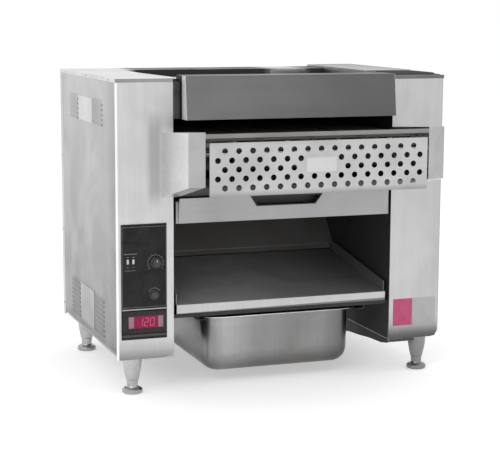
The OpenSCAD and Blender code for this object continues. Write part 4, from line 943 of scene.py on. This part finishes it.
def pressed_pan(bm):
    """Deep-drawn pan with a rolled rim; walls and floor have the sheet's thickness."""
    bottom, rim_z, edge, taper, sheet = -53, 77, 33, 2, 1.2

    def lean(z):
        return taper * (rim_z - z) / (rim_z - bottom)

    def bowl(inset, steps):
        """Rings of the round bottom edge, on the outer or the inner face."""
        rings = []
        for i in steps:
            a = math.radians(90 * i / 8)
            z = bottom + inset + (edge - inset) * (1 - math.cos(a))
            rings.append(pan_ring(inset + lean(z) + (edge - inset) * (1 - math.sin(a)), z))
        return rings

    outer = [pan_ring(130, bottom + 0.8), pan_ring(80, bottom + 0.4), pan_ring(taper + edge, bottom)]
    outer += bowl(0, range(1, 9)) + [pan_ring(lean(z), z) for z in (0, 20, 40, 60, 74)]
    rim = [pan_ring(0, z, out) for z, out in (
        (76.2, 0.8), (rim_z, 3), (rim_z, 15.6), (77.3, 16.7), (78, 17), (78.7, 16.7), (79, 15.6),
        (79, 3.4), (78.4, 0.8))]
    inner = [pan_ring(sheet, 76)] + [pan_ring(sheet + lean(z), z) for z in (60, 40, 20, 0)]
    inner += bowl(sheet, range(8, 0, -1))
    inner += [pan_ring(inset, bottom + sheet + rise)
              for inset, rise in ((taper + edge, 0), (80, 0.4), (130, 0.8))]
    skin(bm, outer + rim + inner)


# Wire belt

ROD_R = 1.5
WHEEL_R = 29.943
SHAFT_Z = 457.556
NOSE_Y = -160.556
DRIVE_Y = 412.944
BELT_PITCH = 15.5
BELT_HALF = 235
LINK_SPOTS = (-231, -116, 0, 116, 231)


def belt_rods():
    """Place of every rod around the loop, with the direction out of the loop."""
    rods = []
    for start, end, way, top in ((NOSE_Y, DRIVE_Y, 1, 90), (DRIVE_Y, NOSE_Y, -1, 270)):
        rods += [(start + way * i * BELT_PITCH, SHAFT_Z + way * WHEEL_R, 0, way)
                 for i in range(38)]
        for i in range(1, 6):
            a = math.radians(top - i * 30)
            c, s = math.cos(a), math.sin(a)
            rods.append((end + WHEEL_R * c, SHAFT_Z + WHEEL_R * s, c, s))
    return rods


def linked_belt(bm):
    """Flat wire belt: rods across, each hooked over the next one by five hairpins."""
    rods = belt_rods()
    side = Vector((3.4, 0, 0))
    for i, (y, z, _, _) in enumerate(rods):
        wire(bm, [(-BELT_HALF, y, z), (BELT_HALF, y, z)], ROD_R, 10)
        ny, nz, out_y, out_z = rods[(i + 1) % len(rods)]
        lift = Vector((0, out_y, out_z)) * 2.3
        for x in LINK_SPOTS:
            here, there = Vector((x, y, z)), Vector((x, ny, nz))
            along = (there - here).normalized()
            foot, neck = there - along * 4.2, there + lift * 0.75 - along * 1.2
            arc = [(math.sin(a), math.cos(a)) for a in map(math.radians, (-60, -20, 20, 60))]
            head = [there + side * s * 0.9 + lift + along * (0.6 + 1.5 * c) for s, c in arc]
            wire(bm, [here - side, foot - side, neck - side * 0.95, *head,
                      neck + side * 0.95, foot + side, here + side], 1.1, 6)


# Controls

PANEL_FACE = -2.5
KNOB = (-301.25, 212.5)
BUTTON = (-304.25, 142)
LAMPS = (-363.25, -350.75)
LAMP_Z = 217


def fluted_knob(bm):
    """Round knob: low skirt, fluted grip, dished end; its spindle reaches behind the panel."""
    turned(bm, facing((KNOB[0], PANEL_FACE - 0.3, KNOB[1]), FRONT), [
        (3, -16.8), (3, 0), (11.6, 0), (12, 0.4), (12, 1.6), (11.2, 2.7), (10.2, 3.1),
        (lobes(9.7, 0.3, 18), 3.9), (lobes(9.55, 0.35, 18), 10.6), (lobes(9.2, 0.2, 18), 12.1),
        (8.2, 12.9), (6.4, 13), (4.5, 12.7), (2, 12.55)
    ], 144)


def knob_pointer(bm):
    """White line let into the knob's end and down its grip."""
    x, z = KNOB
    moulded_plate(bm, (x - 0.7, z + 2, x + 0.7, z + 8.6), 0.6, [
        (0, PANEL_FACE - 12.6), (0, PANEL_FACE - 13.45), (0.15, PANEL_FACE - 13.6)], 3)


def domed_button(bm):
    """Push button with a soft dome; its flange stays behind the panel."""
    turned(bm, facing((BUTTON[0], 0, BUTTON[1]), FRONT), [
        (11, -3.3), (11, -0.3), (8, -0.3), (8, 6), (7.7, 6.7), (7.1, 7.1), (5.6, 7.36), (3, 7.48),
        (0.8, 7.5)], 48)


def button_collar(bm):
    x, z = BUTTON
    turned(bm, facing((x, PANEL_FACE, z), FRONT), [
        (8.4, 0), (10.8, 0), (10.8, 0.7), (10.3, 1.4), (9.4, 1.6), (8.7, 1.4), (8.4, 0.9),
        (8.4, 0)], 48, (False, False))


def lamp_caps(bm):
    """Oblong milky caps with rounded faces."""
    for x in LAMPS:
        moulded_plate(bm, lamp_box(x), 2.2, [
            (0, 3), (0, -2.5), (0.1, -3.0), (0.5, -3.5), (1.3, -3.9), (2.0, -4.0)], 5)


def lamp_box(x, grow=0.0):
    """Outline of a lamp's cap, grown by so much."""
    return x - 2.5 - grow, LAMP_Z - 5.5 - grow, x + 2.5 + grow, LAMP_Z + 5.5 + grow


def lamp_frames(bm):
    for x in LAMPS:
        moulded_frame(bm, lamp_box(x, 0.1), lamp_box(x, 1.1), 2.2, PANEL_FACE, 0.5)


def moulded_frame(bm, inner, outer, r, y, out):
    """Flat frame around an opening, out in front of y."""
    skin(bm, [
        upright_ring(inner, 0, y, r), upright_ring(outer, 0, y, r + 1),
        upright_ring(outer, 0, y - out * 0.6, r + 1), upright_ring(outer, -0.3, y - out, r + 0.7),
        upright_ring(inner, 0.2, y - out, r + 0.2), upright_ring(inner, 0, y - out * 0.6, r),
        upright_ring(inner, 0, y, r)], (False, False))


BEZEL = (-375.75, 59, -277.75, 108)
WINDOW = (-363.75, 70, -284.75, 97)
BODY = (-370.75, 64, -282.75, 103)


def controller_moulding(bm):
    """Controller: bezel with round corners, sloping window edge, body behind the panel."""
    skin(bm, [upright_ring(box, grow, y, r, 5) for box, grow, y, r in (
        (BODY, 0, 66, 1), (BODY, 0, PANEL_FACE, 1), (BEZEL, 0, PANEL_FACE, 3),
        (BEZEL, 0, -4.9, 3), (BEZEL, -0.5, -5.8, 2.6), (BEZEL, -1.4, -6.4, 2.2),
        (BEZEL, -2.2, -6.5, 2), (WINDOW, 0.9, -6.5, 1.6), (WINDOW, 0.3, -6.2, 1.2),
        (WINDOW, 0, -5.6, 1), (WINDOW, 0, -4, 1))])


def seven_segments(bm, x, z, h, lit):
    """One plain figure of a numeric display; lit names its bars from a to g."""
    w, t, lean = h * 0.25, h * 0.11, 0.08
    bars = {
        "a": (-w, h, w, h), "b": (w, h / 2, w, h), "c": (w, 0, w, h / 2), "d": (-w, 0, w, 0),
        "e": (-w, 0, -w, h / 2), "f": (-w, h / 2, -w, h), "g": (-w, h / 2, w, h / 2)}
    for name in lit:
        x0, z0, x1, z1 = bars[name]
        a, b = Vector((x0, z0)), Vector((x1, z1))
        d = (b - a).normalized()
        n = Vector((-d.y, d.x)) * t / 2
        a, b = a + d * t * 0.6, b - d * t * 0.6
        outline = [a - d * t / 2, a - n, b - n, b + d * t / 2, b + n, a + n]
        skin(bm, [[(x + p.x + p.y * lean, y, z + p.y) for p in outline] for y in (-5.78, -5.86)])


INK = 0.06


def arc_mark(bm, x, z, r, a0, a1, width=0.7, steps=24):
    """Printed arc, angles in degrees from the right."""
    rings = []
    for i in range(steps + 1):
        a = math.radians(a0 + (a1 - a0) * i / steps)
        rings.append([
            (x + (r + e) * math.cos(a), PANEL_FACE - d, z + (r + e) * math.sin(a))
            for e, d in ((-width / 2, 0), (width / 2, 0), (width / 2, INK), (-width / 2, INK))])
    skin(bm, rings)


def bar_mark(bm, x0, z0, x1, z1, r=0.3):
    moulded_plate(bm, (x0, z0, x1, z1), r, [(0, PANEL_FACE), (0, PANEL_FACE - INK)], 2)


def panel_marks(bm):
    """Wordless print: a dial scale, a ring arc over the button, bars by the lamps, a thin frame."""
    kx, kz = KNOB
    arc_mark(bm, kx, kz, 17, -40, 220, 0.8, 40)
    for i in range(11):
        a = math.radians(220 - i * 26)
        long = 4.6 if i % 5 == 0 else 3
        arc = [(kx + r * math.cos(a), kz + r * math.sin(a)) for r in (17, 17 + long)]
        side = Vector((-math.sin(a), math.cos(a))) * 0.4
        skin(bm, [[(px + s * side.x, PANEL_FACE - d, pz + s * side.y)
                   for s, d in ((-1, 0), (1, 0), (1, INK), (-1, INK))] for px, pz in arc])
    bx, bz = BUTTON
    arc_mark(bm, bx, bz, 15, 30, 150, 0.9)
    for x in LAMPS:
        bar_mark(bm, x - 3, 226.5, x + 3, 227.7)
        bar_mark(bm, x - 2, 204.5, x + 2, 205.5)
    bar_mark(bm, -372, 233, -343, 234.4)
    bar_mark(bm, -370, 197, -346, 198)
    x0, x1, z0, z1, t = -376.2, -277.3, 116, 292.5, 0.6
    for box in ((x0, z0, x1, z0 + t), (x0, z1 - t, x1, z1),
                (x0, z0 + t, x0 + t, z1 - t), (x1 - t, z0 + t, x1, z1 - t)):
        bar_mark(bm, *box, r=0.2)


def end_keys(bm):
    """Milky keys at both ends of the display window."""
    for x0, x1 in ((-363, -351.4), (-296.6, -285.6)):
        moulded_plate(bm, (x0, 71.5, x1, 95.5), 1.6, [(0, -5.3), (0, -6.1), (0.5, -6.4)], 4)


def display_figures(bm):
    """Plain numbers of a lit display."""
    for k, lit in enumerate(("bc", "abged", "abcdef")):
        seven_segments(bm, -337 + k * 13, 75, 17, lit)


# Roof, deck and base trim


def bent_sheet(bm, x0, x1, outline):
    """Bent sheet along x: outline lists y and z around its section."""
    skin(bm, [[(x, y, z) for y, z in outline] for x in (x0, x1)])


def roof_service_lid(bm):
    """Pale lid on the right roof cap, with a pressed step around its field."""
    laid_plate(bm, (262, 168, 385.5, 529), 4, [
        (0, 610), (0, 614.4), (0.8, 615.2), (9, 615.2), (10.5, 614.2), (12, 613.8)])


def lid_seam(bm):
    """Dull gasket line under the lid's edge."""
    laid_plate(bm, (260, 165.5, 387, 530), 4, [(0, 610), (0, 610.7), (0.3, 611)])


def roof_vent(bm):
    """Dull vent plate in front of the lid with raised slats."""
    laid_plate(bm, (275, 12, 384, 150), 3, [(0, 610), (0, 610.7), (0.5, 611.2)])
    for i in range(9):
        y = 30 + i * 13
        bent_sheet(bm, 281, 378, [(y, 611), (y + 9, 613.6), (y + 9, 614.4), (y - 0.6, 611.8)])


def recess_strip(bm):
    """Pale folded strip along the left edge of the roof recess."""
    skin(bm, [[(x, y, z) for x, z in (
        (-258.5, 598), (-258.5, 608.4), (edge - 1, 606.6), (edge, 603), (edge - 1.2, 603),
        (edge - 2, 605.4), (-257.3, 607.2), (-257.3, 598))] for y, edge in ((30, -215), (409, -243))])


def flue_baffle(bm):
    """Upright baffle behind the flue."""
    outline = ((96, 352), (208, 406), (209, 405), (97, 351))
    skin(bm, [[(x, y, z) for x, y in outline] for z in (568, 609)])


def chute_lip(bm):
    """Lip that carries the chute's slope down to the slide's back edge."""
    bent_sheet(bm, -250, 250, [(327.6, 165.2), (336.5, 175.5), (336.5, 173.6), (328.6, 164.4)])


def deck_lip(bm):
    """Folded lip under the slide's hem, painted dark as the shade there."""
    bent_sheet(bm, -258.8, 258.8, [
        (8.2, 84), (9.4, 84), (9.4, 90.8), (17.4, 90.8), (17.4, 92), (8.2, 92)])


def shade_skirt(bm):
    """Dark sheet that stands in for the shadow under the right tower's inner edge, falling towards the
    back, with a short front lip.
    """
    rim = [(0, -0.05), (0, -8), (37, -15), (102, -18), (160, -24), (266, -31), (270, -0.05)]
    skin(bm, [[(x, y, z) for y, z in rim] for x in (258, 259.2)])
    bent_sheet(bm, 260, 325, [(0.2, -0.2), (0.2, -7), (1.4, -7), (1.4, -0.2)])


# Fasteners and small plates


def cabinet_screws(bm):
    """Screws of the rear panel, its side returns, the roof caps and the rear cover plate."""
    for s in (-1, 1):
        for z in (30, 215, 400, 590):
            screw(bm, (s * 379, 531, z), BACK, 3.4, z)
            screw(bm, (s * 387.5, 520, z), (s, 0, 0), 3.4, z + 1)
            screw(bm, (s * 268, 531, z), BACK, 3.4, z + 2)
        for y in (60, 265, 470):
            screw(bm, (s * 387.5, y, 606), (s, 0, 0), 2.6, y)
    for x in (-150, 0, 150):
        for z in (30, 590):
            screw(bm, (x, 531, z), BACK, 3.4, x + z)


def fan_screws(bm):
    for sx in (-1, 1):
        for sz in (-1, 1):
            screw(bm, (-324.5 + sx * 41, 531, 300 + sz * 41), BACK, 3, sx + sz)


def plate_rivets(bm):
    for s in (-1, 1):
        rivet(bm, (s * 29, -206.55, 438), FRONT, 1.8)


def front_plate(box, r, depths, corner):
    """Shape of a thin plate on the front, with a small bevel."""
    steps = list(zip((0, 0, 0.3), depths))
    return lambda bm: moulded_plate(bm, box, r, steps, corner)


# Pieces on the cabinet that stand for no node: name, slot, finish and shape
TRIM = (
    ("display_end_keys", "lamp_plastic", "key", end_keys),
    ("display_figures", "lens_plastic", "figures", display_figures),
    ("panel_top_strip", "cover_steel", "lid",
     front_plate((-376.5, 109.6, -277, 112.6), 0.6, (PANEL_FACE, -2.9, -3.1), 3)),
    ("panel_low_strip", "cover_steel", "seam",
     front_plate((-376.5, 50.5, -277, 56), 0.8, (PANEL_FACE, -2.7, -2.9), 3)),
    ("roof_service_lid", "cover_steel", "lid", roof_service_lid),
    ("lid_seam", "cover_steel", "seam", lid_seam),
    ("roof_vent", "cover_steel", "panel", roof_vent),
    ("recess_strip", "cover_steel", "plate", recess_strip),
    ("flue_baffle", "cover_steel", "plate", flue_baffle),
    ("chute_lip", "chamber_steel", "chute", chute_lip),
    ("deck_lip", "cover_steel", "inner", deck_lip),
    ("shade_skirt", "cover_steel", "seam", shade_skirt),
    ("bare_plate_left", "cover_steel", "rose",
     front_plate((270, 31, 318.4, 94), 1.5, (-0.1, -0.5, -0.7), 4)),
    ("bare_plate_right", "cover_steel", "pale",
     front_plate((320.4, 31, 378, 94), 1.5, (-0.1, -0.5, -0.7), 4)),
    ("cabinet_screws", "shaft_steel", "screw", cabinet_screws),
    ("fan_screws", "shaft_steel", "screw", fan_screws),
)


def build_pieces():
    piece("pressed_grease_pan", "pan", "pan", pressed_pan, 40, ["grease_pan"])
    piece("linked_wire_belt", "cabinet", "wire", linked_belt, 60, ["wire_belt"])
    piece("fluted_speed_knob", "knob", "grip", fluted_knob, 30, ["speed_knob"])
    piece("knob_pointer", "knob", "lamp", knob_pointer)
    piece("domed_start_button", "button", "button", domed_button, 30,
          ["start_button"])
    piece("button_collar", "cabinet", "button", button_collar)
    piece("milky_lamp_caps", "cabinet", "lamp", lamp_caps, 40,
          ["indicator_lamps"])
    piece("lamp_frames", "cabinet", "bezel", lamp_frames)
    piece("controller_moulding", "cabinet", "bezel", controller_moulding, 30,
          ["temperature_controller"])
    piece("panel_marks", "cabinet", "ink", panel_marks)
    for name, slot, finish, shape in TRIM:
        piece(name, "cabinet", finish, shape)
    piece("plate_rivets", "guard", "screw", plate_rivets)


# Studio


def white_to_the_eye(tree):
    """Share of the white background: 1 for camera, glossy and transmission rays."""
    path = tree.node("LightPath").outputs
    direct = tree.most(path["Is Camera Ray"], path["Is Glossy Ray"])
    return tree.most(direct, path["Is Transmission Ray"])


def studio_world():
    world = bpy.data.worlds.new("soft_studio")
    world.use_nodes = True
    world.node_tree.nodes.clear()
    sky = Nodes(world.node_tree)
    colour = sky.mix(white_to_the_eye(sky), (0.8, 0.8, 0.8, 1), (1, 1, 1, 1))
    background = sky.node("Background", {"Color": colour, "Strength": 1.0})
    sky.node("OutputWorld", {0: background.outputs[0]}).is_active_output = True
    bpy.context.scene.world = world


def studio_floor():
    """Pale floor that keeps the shadow and is white to the eye elsewhere."""
    bm = bmesh.new()
    bmesh.ops.create_grid(bm, x_segments=8, y_segments=8, size=9)
    mesh = bpy.data.meshes.new("studio_floor")
    bm.to_mesh(mesh)
    bm.free()
    floor = bpy.data.objects.new("studio_floor", mesh)
    bpy.context.scene.collection.objects.link(floor)
    f = Finish("white_floor", Roughness=0.9, Specular_IOR_Level=0.0, Emission_Strength=1.0)
    mesh.materials.append(f.feed(
        Base_Color=f.mix(f.cloud(f.place, 3.0), grey(0.8), grey(0.82)),
        Emission_Color=f.mix(white_to_the_eye(f), (0, 0, 0, 1), (0.42, 0.42, 0.42, 1))))


def soft_lamp(name, place, aim, size, power):
    data = bpy.data.lights.new(name, "AREA")
    data.shape = "RECTANGLE"
    data.size, data.size_y = size
    data.energy = power
    lamp = bpy.data.objects.new(name, data)
    ahead = Vector(aim) - Vector(place)
    lamp.location = place
    lamp.rotation_euler = ahead.to_track_quat("-Z", "Y").to_euler()
    bpy.context.scene.collection.objects.link(lamp)


def light_studio():
    studio_world()
    studio_floor()
    soft_lamp("key_left", (-2.6, -2.6, 2.6), (0, 0, 0.35), (2.4, 1.8), 26)
    soft_lamp("fill_top", (0.4, -0.6, 3.4), (0, 0, 0.3), (2.6, 2.6), 14)


photograph_camera()
dress_frame()
build_pieces()
light_studio()
bpy.context.scene.view_settings.view_transform = "Standard"
